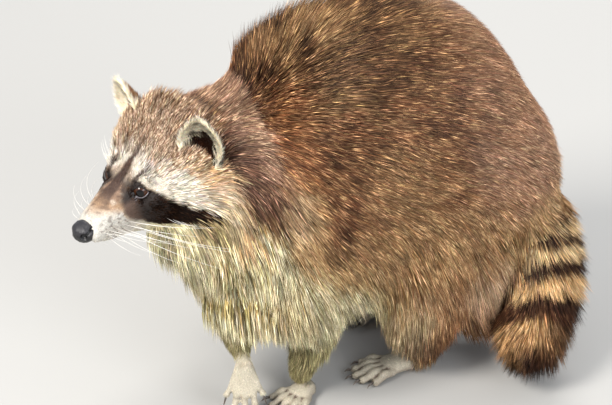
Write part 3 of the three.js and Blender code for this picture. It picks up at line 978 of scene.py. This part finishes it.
bpy.context.view_layer.objects.active = skin
skin.select_set(True)
bpy.ops.object.mode_set(mode="EDIT")
bpy.ops.mesh.select_all(action="SELECT")
bpy.ops.uv.smart_project(angle_limit=math.radians(66), island_margin=0.002)
bpy.ops.object.mode_set(mode="OBJECT")
skin.data.uv_layers[0].name = "OFBake"
skin.data.shade_smooth()


def fresh_material(name):
    material = bpy.data.materials.new(name)
    material.use_nodes = True
    tree = material.node_tree
    return material, tree, tree.nodes["Principled BSDF"]


def wire(made, **links):
    """Gives a node's inputs a socket or a constant each: _3 is the fourth input, and an
    underscore inside a name stands for a space."""
    for key, value in links.items():
        socket = made.inputs[int(key[1:]) if key[0] == "_" else key.replace("_", " ")]
        if isinstance(value, bpy.types.NodeSocket):
            made.id_data.links.new(value, socket)
        else:
            socket.default_value = value
    return made


def node(tree, kind, settings=None, **links):
    """Adds a shader node of a kind, with its settings and its inputs."""
    made = tree.nodes.new("ShaderNode" + kind)
    for key, value in (settings or {}).items():
        setattr(made, key, value)
    return wire(made, **links)


def stored(tree, name, kind="Fac"):
    """The socket of a number, colour or vector that is stored on the mesh."""
    return node(tree, "Attribute", {"attribute_name": name}).outputs[kind]


def ranged(tree, value, low, high, first, last, slope="LINEAR"):
    """Turns a value's range from low to high into first to last."""
    return node(tree, "MapRange", {"interpolation_type": slope}, _0=value, _1=low, _2=high,
                _3=first, _4=last).outputs[0]


def mixed(tree, share, first, second):
    """The first colour where the share is 0 and the second where it is 1."""
    return node(tree, "Mix", {"data_type": "RGBA"}, _0=share, _6=first, _7=second).outputs[2]


def sum_of(tree, operation, *terms):
    """The result of one operation on numbers, such as MULTIPLY."""
    return node(tree, "Math", {"operation": operation},
                **{f"_{k}": term for k, term in enumerate(terms)}).outputs[0]


def darkened(tree, colour, share):
    return node(tree, "VectorMath", {"operation": "SCALE"}, _0=colour, Scale=share).outputs[0]


def bumped(tree, height, strength, distance):
    return node(tree, "Bump", None, Height=height, Strength=strength, Distance=distance).outputs[0]


def effect(name, takes, gives):
    """A new node group, with the ends of it: what it takes and what it gives, each a name
    and a kind of socket."""
    group = bpy.data.node_groups.new(name, "ShaderNodeTree")
    for way, sockets in (("INPUT", takes), ("OUTPUT", gives)):
        for label, kind in sockets.items():
            group.interface.new_socket(label, in_out=way, socket_type="NodeSocket" + kind)
    return group, group.nodes.new("NodeGroupInput").outputs, group.nodes.new("NodeGroupOutput")


# fine short hair lying over skin, with painted shade in the low gaps of its bump and painted light
# on the high parts
short_nap, take, give = effect("short_nap", {"Scale": "Float", "Strength": "Float"},
                               {"Height": "Float", "Gaps": "Float"})
place = node(short_nap, "TexCoord").outputs["Object"]
nap_noise = node(short_nap, "TexNoise", {"noise_dimensions": "3D"}, Vector=place,
                 Scale=take["Scale"], Detail=4.0, Roughness=0.65).outputs["Fac"]
wire(give, Height=sum_of(short_nap, "MULTIPLY", nap_noise, take["Strength"]),
     Gaps=ranged(short_nap, nap_noise, 0.35, 0.65, 0.75, 1.1, "SMOOTHSTEP"))

hide_finish, tree, shader = fresh_material("hide")
nap = node(tree, "Group", {"node_tree": short_nap}, Scale=900.0, Strength=0.6).outputs
# painted shade and light: the hide's colour follows the nap's bump, darker where it is low
shaded = darkened(tree, stored(tree, "hide_colour", "Color"), nap["Gaps"])
wire(shader, Base_Color=shaded, Normal=bumped(tree, nap["Height"], 0.4, 0.0006),
     Roughness=ranged(tree, stored(tree, "bare"), 0.0, 1.0, 0.72, 0.28))
skin.data.materials.append(hide_finish)
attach(skin, "root")
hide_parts(*FLESH)


# ==== Coat ======================================================================
# Some 350,000 tufts of hair, each a thin closed spike rooted in the hide that follows
# its lie and leans into its neighbours; those of the left cheek and breast bend over towards the
# tip.

FINE_HAIR = 0.2  # fineness of the hide below which the plan of the coat is evened out
TUFTS_PER_LOCK = 22
GUARD_SHARE, GUARD_LONGER, GUARD_WIDER = 0.28, 0.14, 0.5  # shares, over those of other hair
LONG_HAIR = 9  # mm, from which a tuft is kept clear of the hide
ROOT_DEEP, ROOT_SHARE = 0.9, 0.12  # mm at most under the hide, and share of a tuft's length
BEND_AT, BEND_CLEAR, TIP_CLEAR = 0.55, 0.2, 0.22  # shares of a tuft's length
BEND_FLOOR, TIP_FLOOR = 0.9, 0.7  # mm above the floor
TAIL_LONG = 260  # mm along the tail
BANDED_SHARE_OF_LOCK = 0.5  # how many tufts are banded as their lock is
draw = np.random.default_rng(11)


def corners_of(mesh):
    """Points and loops of each triangle of a mesh."""
    mesh.calc_loop_triangles()
    count = len(mesh.loop_triangles)
    points, loops = np.empty(count * 3, np.int32), np.empty(count * 3, np.int32)
    mesh.loop_triangles.foreach_get("vertices", points)
    mesh.loop_triangles.foreach_get("loops", loops)
    return points.reshape(-1, 3), loops.reshape(-1, 3)


corners, loops = corners_of(skin.data)
unwrap = np.empty(len(skin.data.loops) * 2)
skin.data.uv_layers["OFBake"].data.foreach_get("uv", unwrap)
unwrap = unwrap.reshape(-1, 2)
at, normal = surface["at"], surface["normal"]
plan = coat_plan(at, normal, surface["belongs"], surface["share"])
plan = np.where(fineness(at) < FINE_HAIR, hide.spread(plan.T, 40).T, plan)
lie = lie_of(at, normal, surface["belongs"], surface["flow"])
lie = unit(hide.spread(lie, 14))
cover = plan[5] * within(bare, 0.5, 0.1)
for side in (1, -1):
    inside, off, far = opening(local, side)
    cover *= 1 - (off < 100) * (far < 12) * within(inside, -7, -4)
cover *= within(np.linalg.norm((local - PAD_AT) / PAD_SIZE, axis=1), 1.0, 1.12)
cover *= 1 - 0.85 * crease

edges = at[corners]
area = np.linalg.norm(np.cross(edges[:, 1] - edges[:, 0], edges[:, 2] - edges[:, 0]), axis=1) / 2
wanted = np.cumsum(area * cover[corners].mean(1))
count = int(wanted[-1])
seeds = (np.arange(count) + draw.uniform(0, 1, count)) * wanted[-1] / count
chosen = np.searchsorted(wanted, seeds)
u, v = draw.uniform(0, 1, (2, count))
u, v = np.where(u + v > 1, 1 - u, u), np.where(u + v > 1, 1 - v, v)
shares = np.stack([1 - u - v, u, v], 1)


def rooted(values):
    """A value of the hide's points read at the roots of the tufts."""
    values = np.asarray(values)
    flat = values.reshape(len(values), -1)
    return np.einsum("nk,nkd->nd", shares, flat[corners[chosen]]).reshape(count, *values.shape[1:])


root, up = rooted(at), unit(rooted(normal))
belongs, share = rooted(surface["belongs"]), rooted(surface["share"])
length, width, lift, kept, droop, _ = (rooted(row) for row in plan)
along = rooted(lie)
along = unit(along - up * np.sum(along * up, axis=1, keepdims=True))
place_uv = np.einsum("nk,nkd->nd", shares, unwrap[loops[chosen]])

# each tuft varies a little from its neighbours, and some are coarse guard hairs
guard = (draw.uniform(0, 1, count) < GUARD_SHARE) * within(length, 10, 20)
length *= 1 + GUARD_LONGER * guard
width *= 1 + GUARD_WIDER * guard
length *= draw.uniform(0.7, 1.2, count)
width *= draw.uniform(0.75, 1.25, count)
lift = np.radians(np.clip(lift + draw.normal(0, 5, count), 4, 85))
aside = np.cross(up, along)
swerve = draw.normal(0, 0.12, count) + 0.14 * bumps(root, 15, 31)
along = unit(along + aside * swerve[:, None])
start = unit(along * np.cos(lift)[:, None] + up * np.sin(lift)[:, None])
later = lift * kept
end = unit(along * np.cos(later)[:, None] + up * np.sin(later)[:, None])
end[:, 2] -= droop
base = root - up * np.minimum(ROOT_DEEP, ROOT_SHARE * length)[:, None]
tip = base + unit(end) * length[:, None]

# hair that would sink into the hide below it lies over it instead
nearest_hide = finder(at)
long_ones = np.where(length > LONG_HAIR)[0]


def kept_out(points, clear):
    """Moves points out along the hide's normal until they clear it."""
    below = nearest_hide(points)
    gap = np.sum((points - at[below]) * normal[below], axis=1)
    return points + normal[below] * np.clip(clear - gap, 0, None)[:, None]


# neighbouring tips gather into locks, and a lock has its own depth of colour
locks = np.arange(0, count, TUFTS_PER_LOCK)
lock = locks[finder(root[locks])(root)]
apart = np.linalg.norm(root[lock] - root, axis=1)
loose = within(root[:, 2], 230, 150) * within(length, 20, 32)
gather = draw.uniform(0.1, 0.48 + 0.25 * loose, count)
gather = gather * within(length, 5, 20) * within(apart, 20, 10)
tip += (tip[lock] - tip) * gather[:, None]

tip[long_ones] = kept_out(tip[long_ones], TIP_CLEAR * length[long_ones])
bend = base + start * (BEND_AT * length)[:, None]
bend[long_ones] = kept_out(bend[long_ones], BEND_CLEAR * length[long_ones])
tip[:, 2], bend[:, 2] = np.maximum(tip[:, 2], TIP_FLOOR), np.maximum(bend[:, 2], BEND_FLOOR)

# a tuft is dyed for the place where it is seen, and strays a little from it
seen = 0.25 * base + 0.35 * bend + 0.4 * tip
tail_hair = belongs[:, KINDS.index("tail")] > 0.5
seen_share = share + np.where(tail_hair, BEND_AT * length / TAIL_LONG, 0)
astray = draw.normal(0, 0.45, (count, 3)) + draw.normal(0, 0.6, (count, 3))[lock]
astray *= np.clip(0.18 * length, 0.7, 4.5)[:, None]
colours = markings(seen + astray, up, belongs, seen_share)
shade = draw.uniform(0.42, 1.43, (count, 1))
# ear hair is brightened, painted light against the shade on the rims; foot hair only varies less
for kind, least, spread in (("ear", 0.95, 0.3), ("foot", 0.65, 0.35)):
    mine = belongs[:, KINDS.index(kind)] > 0.5
    shade[mine] = least + spread * shade[mine]
pale_place = within(colours[:, 3], 0.55, 0.8)[:, None]
darker = draw.uniform(0, 1, (count, 1)) < 0.45
shade *= 1 + guard[:, None] * np.where(darker, -0.5, 0.72) * (1 - 0.6 * pale_place)
shade = shade * (1 + 0.05 * draw.normal(size=(count, 3)))
lock_shade = draw.normal(size=count)[lock][:, None].clip(-1.6, 1.6)
shade *= 1 + (0.14 + 0.16 * within(length, 8, 20))[:, None] * lock_shade
chance = draw.uniform(0, 1, count)
chance = np.where(draw.uniform(0, 1, count) < BANDED_SHARE_OF_LOCK, chance[lock], chance)
banded = np.where(chance < colours[:, 9], draw.uniform(0.75, 1, count), draw.uniform(0, 0.2, count))
band_at = draw.uniform(0.55, 0.86, count)


def spikes(chosen, steps):
    """Closed three-sided spikes with rings at the steps, placed on a curve bent through its middle.
    """
    n = len(chosen)
    a, b, c = base[chosen], bend[chosen], tip[chosen]
    across = unit(np.cross(unit(c - a), up[chosen]))
    ridge = np.cross(across, unit(c - a))
    rings, facing = [], []
    for t, girth in steps:
        here = a * (1 - t) ** 2 + b * 2 * t * (1 - t) + c * t * t
        half = (width[chosen] * girth / 2)[:, None]
        for side, rise in ((1, -0.25), (-1, -0.25), (0, 0.75)):
            rings.append(here + across * half * side + ridge * half * rise)
            facing.append(across * side * 0.75 + ridge * rise)
    rings.append(c)
    facing.append(ridge)
    facing = unit(np.stack(facing, 1) * 0.75 + up[chosen][:, None] * 0.5)
    points = np.stack(rings, 1)
    faces = [(0, 2, 1)]
    for k in range(len(steps) - 1):
        for j in range(3):
            m, p, q = (j + 1) % 3, 3 * k, 3 * (k + 1)
            faces += [(p + j, p + m, q + m), (p + j, q + m, q + j)]
    last = 3 * (len(steps) - 1)
    faces += [(last + j, last + (j + 1) % 3, last + 3) for j in range(3)]
    faces = (np.array(faces)[None] + (np.arange(n) * points.shape[1])[:, None, None]).reshape(-1, 3)
    grade = [t for t, _ in steps for _ in range(3)] + [1.0]
    return points.reshape(-1, 3), faces, facing.reshape(-1, 3), np.tile(grade, n), points.shape[1]


def coat_piece(name, chosen, steps, finish):
    """One piece of the coat, from the tufts chosen for it."""
    points, faces, facing, grade, each = spikes(chosen, steps)
    mesh = bpy.data.meshes.new(name)
    mesh.vertices.add(len(points))
    mesh.vertices.foreach_set("co", placed(points).astype(np.float32).ravel())
    mesh.loops.add(faces.size)
    mesh.loops.foreach_set("vertex_index", faces.ravel().astype(np.int32))
    mesh.polygons.add(len(faces))
    mesh.polygons.foreach_set("loop_start", np.arange(0, faces.size, 3, dtype=np.int32))
    mesh.update(calc_edges=True)
    spread = lambda values: np.repeat(values, each, axis=0)
    for k, part in enumerate(("shaft", "band", "tip")):
        paint_points(mesh, part, spread(colours[chosen, 3 * k:3 * k + 3] * shade[chosen]))
    grade_points(mesh, "along", grade)
    grade_points(mesh, "banded", spread(banded[chosen]))
    grade_points(mesh, "band_at", spread(band_at[chosen]))
    chart = place_uv[chosen]
    low, high = chart.min(0), chart.max(0)
    chart = 0.004 + (chart - low) / (high - low) * 0.988
    sides = np.tile([0, 1, 0.5] * len(steps) + [0.5], len(chosen))
    chart = spread(chart) + 0.003 * np.stack([sides, grade], 1)
    layer = mesh.uv_layers.new(name="OFBake")
    layer.data.foreach_set("uv", chart[faces.ravel()].astype(np.float32).ravel())
    mesh.shade_smooth()
    mesh.normals_split_custom_set_from_vertices(facing.tolist())
    mesh.materials.append(finish)
    obj = set_out(name, mesh)
    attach(obj, "root")


# colour along a hair: a dark root, partly darker underfur and partly painted shade deep in the
# coat, then shaft, a lighter band and the tip
hair_bands, take, give = effect("hair_bands", {
    "Shaft": "Color", "Band": "Color", "Tip": "Color", "Along": "Float", "Banded": "Float",
    "Band At": "Float", "Band Width": "Float", "Root Depth": "Float"}, {"Color": "Color"})
off = sum_of(hair_bands, "SUBTRACT", take["Along"], take["Band At"])
in_band = ranged(hair_bands, sum_of(hair_bands, "ABSOLUTE", off), 0.0, take["Band Width"], 1.0, 0.0,
                 "SMOOTHSTEP")
much = sum_of(hair_bands, "MULTIPLY", in_band, take["Banded"])
past = ranged(hair_bands, off, 0.06, 0.26, 0.0, 1.0, "SMOOTHSTEP")
ringed = mixed(hair_bands, much, mixed(hair_bands, past, take["Shaft"], take["Tip"]), take["Band"])
# painted shade: the root end of each hair is darkened down to 0.16, partly darker underfur
root_shade = ranged(hair_bands, take["Along"], 0.1, take["Root Depth"], 0.16, 1.0, "SMOOTHSTEP")
wire(give, Color=darkened(hair_bands, ringed, root_shade))


def hair_finish(name, band_width, root_depth, roughness, gloss):
    """Hair banded over a share of its length, and dark up to a share of it: partly darker underfur,
    partly painted shade deep in the coat.
    """
    material, tree, shader = fresh_material(name)
    bands = node(tree, "Group", {"node_tree": hair_bands}, Shaft=stored(tree, "shaft", "Color"),
                 Band=stored(tree, "band", "Color"), Tip=stored(tree, "tip", "Color"),
                 Along=stored(tree, "along"), Banded=stored(tree, "banded"),
                 Band_At=stored(tree, "band_at"), Band_Width=band_width, Root_Depth=root_depth)
    wire(shader, Base_Color=bands.outputs["Color"], Roughness=roughness, Specular_IOR_Level=gloss)
    return material


down_hair = hair_finish("down_hair", 0.3, 0.3, 0.65, 0.04)
guard_hair = hair_finish("guard_hair", 0.15, 0.7, 0.5, 0.14)
face_hair = hair_finish("face_hair", 0.3, 0.7, 0.6, 0.04)
ear_hair = hair_finish("ear_hair", 0.3, 0.12, 0.65, 0.04)
pale_hair = hair_finish("pale_hair", 0.2, 0.42, 0.6, 0.08)

# the coat is parted into pieces by the kind of body a tuft is rooted in and its place
head_place = in_head(root)
strongest = np.argmax(belongs, axis=1)
is_kind = lambda name: strongest == KINDS.index(name)
left, head_left = root[:, 0] > -4, head_place[:, 0] > 0
high, fore = root[:, 2] > 285, root[:, 1] < 20
face = is_kind("head") & (head_place[:, 1] < 14)
crown = is_kind("head") & ~face
muzzle = face & (head_place[:, 1] < -14)
cheek = crown & (head_place[:, 2] < 16)
belly = is_kind("trunk") & (up[:, 2] < -0.2)
breast = is_kind("trunk") & (root[:, 1] < -92) & ~belly
body = is_kind("trunk") & ~belly & ~breast
front_foot = is_kind("foot") & (root[:, 1] < 0)
TUFTS_OF = {
    "coat_muzzle": muzzle, "coat_face": face & ~muzzle, "coat_crown": crown & ~cheek,
    "coat_cheek_left": cheek & head_left, "coat_cheek_right": cheek & ~head_left,
    "coat_ears": is_kind("ear"), "coat_neck": is_kind("neck"), "coat_breast": breast,
    "coat_belly": belly, "coat_back_front": body & high & fore,
    "coat_back_rear": body & high & ~fore,
    "coat_flank_left_front": body & ~high & left & fore,
    "coat_flank_left_rear": body & ~high & left & ~fore,
    "coat_flank_right_front": body & ~high & ~left & fore,
    "coat_flank_right_rear": body & ~high & ~left & ~fore,
    "coat_tail": is_kind("tail"), "coat_forelegs": is_kind("foreleg"),
    "coat_shanks": is_kind("shank"), "coat_paws_front": front_foot,
    "coat_feet_hind": is_kind("foot") & ~front_foot,
}
FINISH_OF = {"coat_muzzle": down_hair, "coat_face": face_hair, "coat_ears": ear_hair,
             "coat_paws_front": down_hair, "coat_feet_hind": down_hair, "coat_breast": pale_hair,
             "coat_belly": pale_hair, "coat_forelegs": pale_hair, "coat_cheek_left": pale_hair,
             "coat_cheek_right": pale_hair}
# rings of a tuft as shares of its length and of its width; the nearest hair has a ring in its
# middle, where it bends
STRAIGHT, BENT = ((0, 1),), ((0, 1), (0.55, 0.8))
for name, mask in TUFTS_OF.items():
    finish = FINISH_OF.get(name, guard_hair)
    steps = BENT if name in ("coat_cheek_left", "coat_breast") else STRAIGHT
    coat_piece(name, np.where(mask)[0], steps, finish)


# Eyes: two glass balls set deep between the lids, painted behind their clear fronts with
# a round black pupil in a dark brown iris. Cast in glass and cemented into the sockets.
def globe(bands, sides):
    """Points of a ball of bands about its z axis, and its outward faces."""
    bend = np.linspace(0, math.pi, bands + 1)[1:-1]
    spin = np.linspace(0, 2 * math.pi, sides, endpoint=False)
    grid = np.stack([np.outer(np.sin(bend), np.cos(spin)), np.outer(np.sin(bend), np.sin(spin)),
                     np.outer(np.cos(bend), np.ones(sides))], 2).reshape(-1, 3)
    faces = [(k * sides + j, (k + 1) * sides + j, (k + 1) * sides + (j + 1) % sides,
              k * sides + (j + 1) % sides) for k in range(bands - 2) for j in range(sides)]
    faces += [(len(grid), j, (j + 1) % sides) for j in range(sides)]
    last = (bands - 2) * sides
    faces += [(len(grid) + 1, last + (j + 1) % sides, last + j) for j in range(sides)]
    return np.vstack([grid, [[0, 0, 1], [0, 0, -1]]]), faces


def ramp(tree, value, *stops):
    """Colours along a value, each stop a place and its colour."""
    made = node(tree, "ValToRGB", None, _0=value)
    elements = made.color_ramp.elements
    for k, (place, colour) in enumerate(stops):
        stop = elements[k] if k < 2 else elements.new(place)
        stop.position, stop.color = place, (*colour, 1)
    return made.outputs[0]


# how much of the brown shows from the middle of the pupil, 0, to the side of the ball, 1
IRIS_RINGS = ((0.0, 0), (0.27, 0), (0.32, 0.7), (0.62, 1), (0.72, 0.12), (0.85, 0.3))
CLEAR_SWELL = 0.055  # share of its radius by which the clear front stands out

eye_glass, tree, shader = fresh_material("eye_glass")
off_gaze = stored(tree, "off_gaze")
rays = node(tree, "TexNoise", None, Vector=stored(tree, "round_gaze", "Vector"), Scale=9.0,
            Detail=4.0).outputs[0]
brown = ramp(tree, rays, (0.3, dye(44, 24, 13)), (0.75, dye(92, 54, 32)))
shown = ramp(tree, off_gaze, *((place, [grey] * 3) for place, grey in IRIS_RINGS))
wire(shader, Base_Color=mixed(tree, shown, (0.0022, 0.0016, 0.0014, 1), brown), Roughness=0.04,
     Specular_IOR_Level=0.35)
for side, name in ((1, "left"), (-1, "right")):
    ball, faces = globe(40, 56)
    off = np.degrees(np.arccos(np.clip(ball[:, 2], -1, 1)))
    swell = EYE_RADIUS * (1 + CLEAR_SWELL * within(off, 46, 20))
    if side < 0:
        faces = [face[::-1] for face in faces]
    eye = built("eyeball_" + name,
                on_head(SOCKET * (side, 1, 1) + (ball * swell[:, None]) @ eye_axes(side).T), faces)
    grade_points(eye.data, "off_gaze", off / 90)
    layer = eye.data.attributes.new("round_gaze", "FLOAT_VECTOR", "POINT")
    flat = ball[:, :2] / (np.linalg.norm(ball[:, :2], axis=1, keepdims=True) + 0.02)
    layer.data.foreach_set("vector", np.c_[flat, 0.15 * off / 90].astype(np.float32).ravel())
    eye.data.shade_smooth()
    eye.data.materials.append(eye_glass)
    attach(eye, "root")
    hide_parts("eye_" + name)


# Nose pad: bare moist black leather with a comma nostril in each side, a groove down the
# middle and a pebbled skin. Modelled in clay, cast and lacquered.
NOSTRIL = np.array([(8.0, -6.6, 1.6), (10.2, -3.0, 3.4), (10.2, 0.4, 4.6), (9.2, 3.2, 5.3)])
HOLE_DEEP, SLIT_DEEP, GROOVE_DEEP, CREASE_DEEP, BROW_DEEP = 3.6, 2.6, 0.8, 0.4, 0.8


def with_nostrils(points):
    """Sinks the nostrils and the groove into an egg about the pad's middle."""
    x, y, z = (points / PAD_SIZE).T
    own = folded(points)
    hole = within(np.linalg.norm(own - NOSTRIL[0], axis=1), 3.9, 2.2)
    slit = np.zeros(len(points))
    for p, q in zip(NOSTRIL[:-1], NOSTRIL[1:]):
        t = np.clip((own - p) @ (q - p) / np.dot(q - p, q - p), 0, 1)
        gap = np.linalg.norm(own - p - t[:, None] * (q - p), axis=1)
        slit = np.maximum(slit, within(gap, 2.0, 0.9))
    front = within(y, 0.35, -0.1)
    groove = within(np.abs(x), 0.12, 0.02) * within(z, 0.25, -0.1) * within(y, 0.3, -0.2)
    crease = within(np.abs(z + 0.72), 0.14, 0.04) * front
    sunk = np.maximum(HOLE_DEEP * hole, SLIT_DEEP * slit) + GROOVE_DEEP * groove
    sunk += CREASE_DEEP * crease + BROW_DEEP * within(z, 0.5, 1.0) * front
    return points - unit(points * (1, 1.2, 1)) * sunk[:, None], np.maximum(hole, slit)


ball, faces = globe(90, 120)
ball = ball[:, [0, 2, 1]] * (1, -1, 1)
squared = np.sign(ball) * np.abs(ball) ** 0.88
squared /= np.linalg.norm(squared, axis=1, keepdims=True) ** 0.9
carved, hollow = with_nostrils(squared * PAD_SIZE)
carved += unit(carved) * (bumps(carved, 1.0, 41) * 0.10 + bumps(carved, 2.6, 42) * 0.12)[:, None]
pad = built("nose_leather", on_head(carved + PAD_AT), faces)
grade_points(pad.data, "hollow", hollow)
# painted highlight: the top of the pad is graded lighter grey, the rest keeps the leather's black
raised = carved / PAD_SIZE
grade_points(pad.data, "height", within(raised[:, 2] + 0.25 * raised[:, 1], -0.1, 0.2))
leather, tree, shader = fresh_material("nose_leather")
deep, height = stored(tree, "hollow"), stored(tree, "height")
grain = node(tree, "TexVoronoi", {"feature": "DISTANCE_TO_EDGE"},
             Vector=node(tree, "TexCoord").outputs["Object"], Scale=1500.0).outputs["Distance"]
# painted highlight: lighter grey towards the top of the pad
grey = mixed(tree, height, (*dye(6, 5, 6), 1), (*dye(34, 32, 36), 1))
pebbled = bumped(tree, ranged(tree, grain, 0.0, 0.25, 0.0, 1.0), 0.35, 0.0002)
wire(shader, Base_Color=mixed(tree, deep, grey, (0.002, 0.0015, 0.0015, 1)), Roughness=0.36,
     Specular_IOR_Level=0.6, Normal=pebbled)
pad.data.shade_smooth()
pad.data.materials.append(leather)
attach(pad, "root")
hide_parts("nose_pad")


# Claws: twenty curved horn claws, dark at the root and paler along the worn edge. Each is a
# laterally flattened cone that curls down from the end of its toe, set in with glue.
FRONT_CLAW, HIND_CLAW, CLAW_NARROW = 12.5, 11.0, 0.62  # mm long, and width as a share of depth

horn, tree, shader = fresh_material("claw_horn")
along_claw = stored(tree, "along")
streak = node(tree, "TexNoise", None, Vector=node(tree, "TexCoord").outputs["Object"], Scale=900.0,
              Detail=3.0).outputs[0]
streaked = sum_of(tree, "MULTIPLY_ADD", streak, 0.35, along_claw)
tone = ramp(tree, streaked, (0.1, dye(40, 32, 28)), (1.0, dye(104, 92, 82)))
wire(shader, Base_Color=tone, Roughness=0.32, Normal=bumped(tree, streak, 0.2, 0.0002))

for stand_name, stand in STANDS.items():
    long = FRONT_CLAW if "front" in stand_name else HIND_CLAW
    for i in range(-2, 3):
        start, way, reach, r = toe_frame(stand, i)
        t = np.linspace(0, 1, 15)
        bow = start + way * (reach - 1.5) + (0, 0, r * 1.05)
        bow = bow + np.outer(t * long * (1 - 0.12 * t), way)
        bow[:, 2] += 1.6 * np.sin(t * math.pi * 0.75) - (r * 1.05 - 0.5 + 0.4) * t**2.2
        thick = np.interp(t, [0, 0.25, 0.7, 1], [1.9, 1.7, 0.95, 0.14])
        rows = [(*p, CLAW_NARROW * w, w, w) for p, w in zip(bow, thick)]
        points, faces, shares, _ = loft(rows, 14, 44, 0.35, upright=True)
        claw = built("horn_%s_%d" % (stand_name, i + 3), stood(points, stand), faces)
        grade_points(claw.data, "along", shares)
        claw.data.shade_smooth()
        claw.data.materials.append(horn)
        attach(claw, "root")
        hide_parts("claw_%s_%d" % (stand_name, i + 3))


# Whiskers: long white bristles in three rows on each side of the muzzle, with a few over the
# eyes, on the chin and on the cheeks. Nylon bristle, tapered, pricked into the skin.
bristle, tree, shader = fresh_material("whisker_bristle")
# the root end of each whisker is darker: partly the bristle's own colour, partly painted shade
# close to the muzzle
tone = ramp(tree, stored(tree, "along"), (0.0, dye(120, 104, 92)), (0.25, dye(240, 236, 228)))
wire(shader, Base_Color=tone, Roughness=0.3)
nearest_face = finder(local)
hide_normal = surface["normal"] @ HEAD_AXES
prick = np.random.default_rng(5)
LONGEST = 112


def whiskers(side):
    """Roots in the head, first direction, way it bends to, length and thickness."""
    for row, k, back, up_at, waver in whisker_pits():
        long = (30 + 19 * k + 5 * row) * prick.uniform(0.85, 1.12)
        yield ((side * 14, back, up_at - 0.13 * (back + 50) + waver),
               (side * 0.7, 0.02 + 0.12 * k, -0.02 - 0.12 * row),
               (side * 0.44, 0.78, -0.36 - 0.2 * row), min(long, LONGEST), 0.22 + 0.03 * k)
    for k in range(5):
        yield ((side * (13 + 1.6 * k), -1 + 2.4 * k, 16), (side * 0.35, -0.45, 0.85),
               (side * 0.5, 0.5, 0.3), 30 * prick.uniform(0.8, 1.1), 0.2)
    for k in range(4):
        yield ((side * 34, 8 + 4 * k, -34 - 2 * k), (side * 0.8, 0.3, -0.2),
               (side * 0.3, 0.9, -0.3), 30, 0.16)
    for k in range(5):
        yield ((side * (3 + 2 * k), -50 + 5 * k, -38), (side * 0.2, -0.1, -0.8),
               (side * 0.2, 0.9, -0.5), 9, 0.1)


for side, name in ((1, "left"), (-1, "right")):
    shapes, grades = [], []
    for pit, first, later_way, long, thick in list(whiskers(side)):
        found = nearest_face([pit])[0]
        base_at = local[found] - 1.2 * hide_normal[found]
        first = unit(np.array(first) + 0.5 * hide_normal[found] + prick.normal(0, 0.05, 3))
        later_way = unit(np.array(later_way) + prick.normal(0, 0.07, 3))
        t = np.linspace(0, 1, 15)[:, None]
        bow = base_at + long * (first * (t - 0.5 * t**2) + later_way * 0.5 * t**2)
        taper = np.interp(t[:, 0], [0, 0.3, 1], [1, 0.85, 0.22])
        points, faces, shares, _ = loft([(*p, thick * w) for p, w in zip(bow, taper)], 5, 28, 0.05)
        shapes.append((on_head(points), faces))
        grades.append(shares)
    points, faces = merged(shapes)
    obj = built("whiskers_" + name, points, faces)
    grade_points(obj.data, "along", np.concatenate(grades))
    obj.data.shade_smooth()
    obj.data.materials.append(bristle)
    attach(obj, "root")


# ==== Camera, floor and light ===================================================
# A long lens from the animal's front left and above, a plain pale floor that runs out
# past the view, and large soft lamps under a pale sky.

CAMERA_AZIMUTH, CAMERA_ELEVATION = math.radians(64), math.radians(31)
CAMERA_DISTANCE, LENS = 2.5, 154.4
AIM = placed([-45, 0, 150])
FILM_WIDE = 36  # mm
FLOOR_HALF = 4  # metres

camera_data = bpy.data.cameras.new("camera")
camera_data.lens = LENS
camera_data.sensor_width = FILM_WIDE
camera = set_out("camera", camera_data)
flat = math.cos(CAMERA_ELEVATION)
away = np.array([math.sin(CAMERA_AZIMUTH) * flat, -math.cos(CAMERA_AZIMUTH) * flat,
                 math.sin(CAMERA_ELEVATION)])
camera.location = AIM + away * CAMERA_DISTANCE
camera.rotation_euler = (math.pi / 2 - CAMERA_ELEVATION, 0, CAMERA_AZIMUTH)
bpy.context.scene.camera = camera

floor_mesh = bpy.data.meshes.new("floor")
floor_mesh.from_pydata([(x * FLOOR_HALF, y * FLOOR_HALF, 0)
                        for x, y in ((-1, -1), (1, -1), (1, 1), (-1, 1))], [], [(0, 1, 2, 3)])
floor = set_out("floor", floor_mesh)
floor_paint, _, shader = fresh_material("floor_paint")
wire(shader, Base_Color=(0.46, 0.45, 0.43, 1), Roughness=0.85)
floor_mesh.materials.append(floor_paint)

world = bpy.data.worlds.new("studio")
world.use_nodes = True
wire(world.node_tree.nodes["Background"], Color=(0.85, 0.89, 0.95, 1), Strength=0.82)
bpy.context.scene.world = world


def lamp(name, at, size, power, colour):
    """A round soft lamp turned to the animal: place and size in metres, power in watts."""
    data = bpy.data.lights.new(name, "AREA")
    data.shape = "DISK"
    data.size = size
    data.energy = power
    data.color = colour
    obj = set_out(name, data)
    obj.location = at
    aim = np.array(at) - AIM
    obj.rotation_euler = (math.atan2(math.hypot(aim[0], aim[1]), aim[2]), 0,
                          math.atan2(aim[0], -aim[1]))


lamp("key", (0.6, -1.9, 2.2), 1.1, 88, (1.0, 0.97, 0.92))
lamp("fill", (2.4, 0.6, 1.3), 1.6, 38, (0.93, 0.96, 1.0))
lamp("back", (-1.4, 1.5, 2.0), 1.3, 40, (1.0, 0.98, 0.95))

bpy.context.scene.view_settings.view_transform = "Standard"
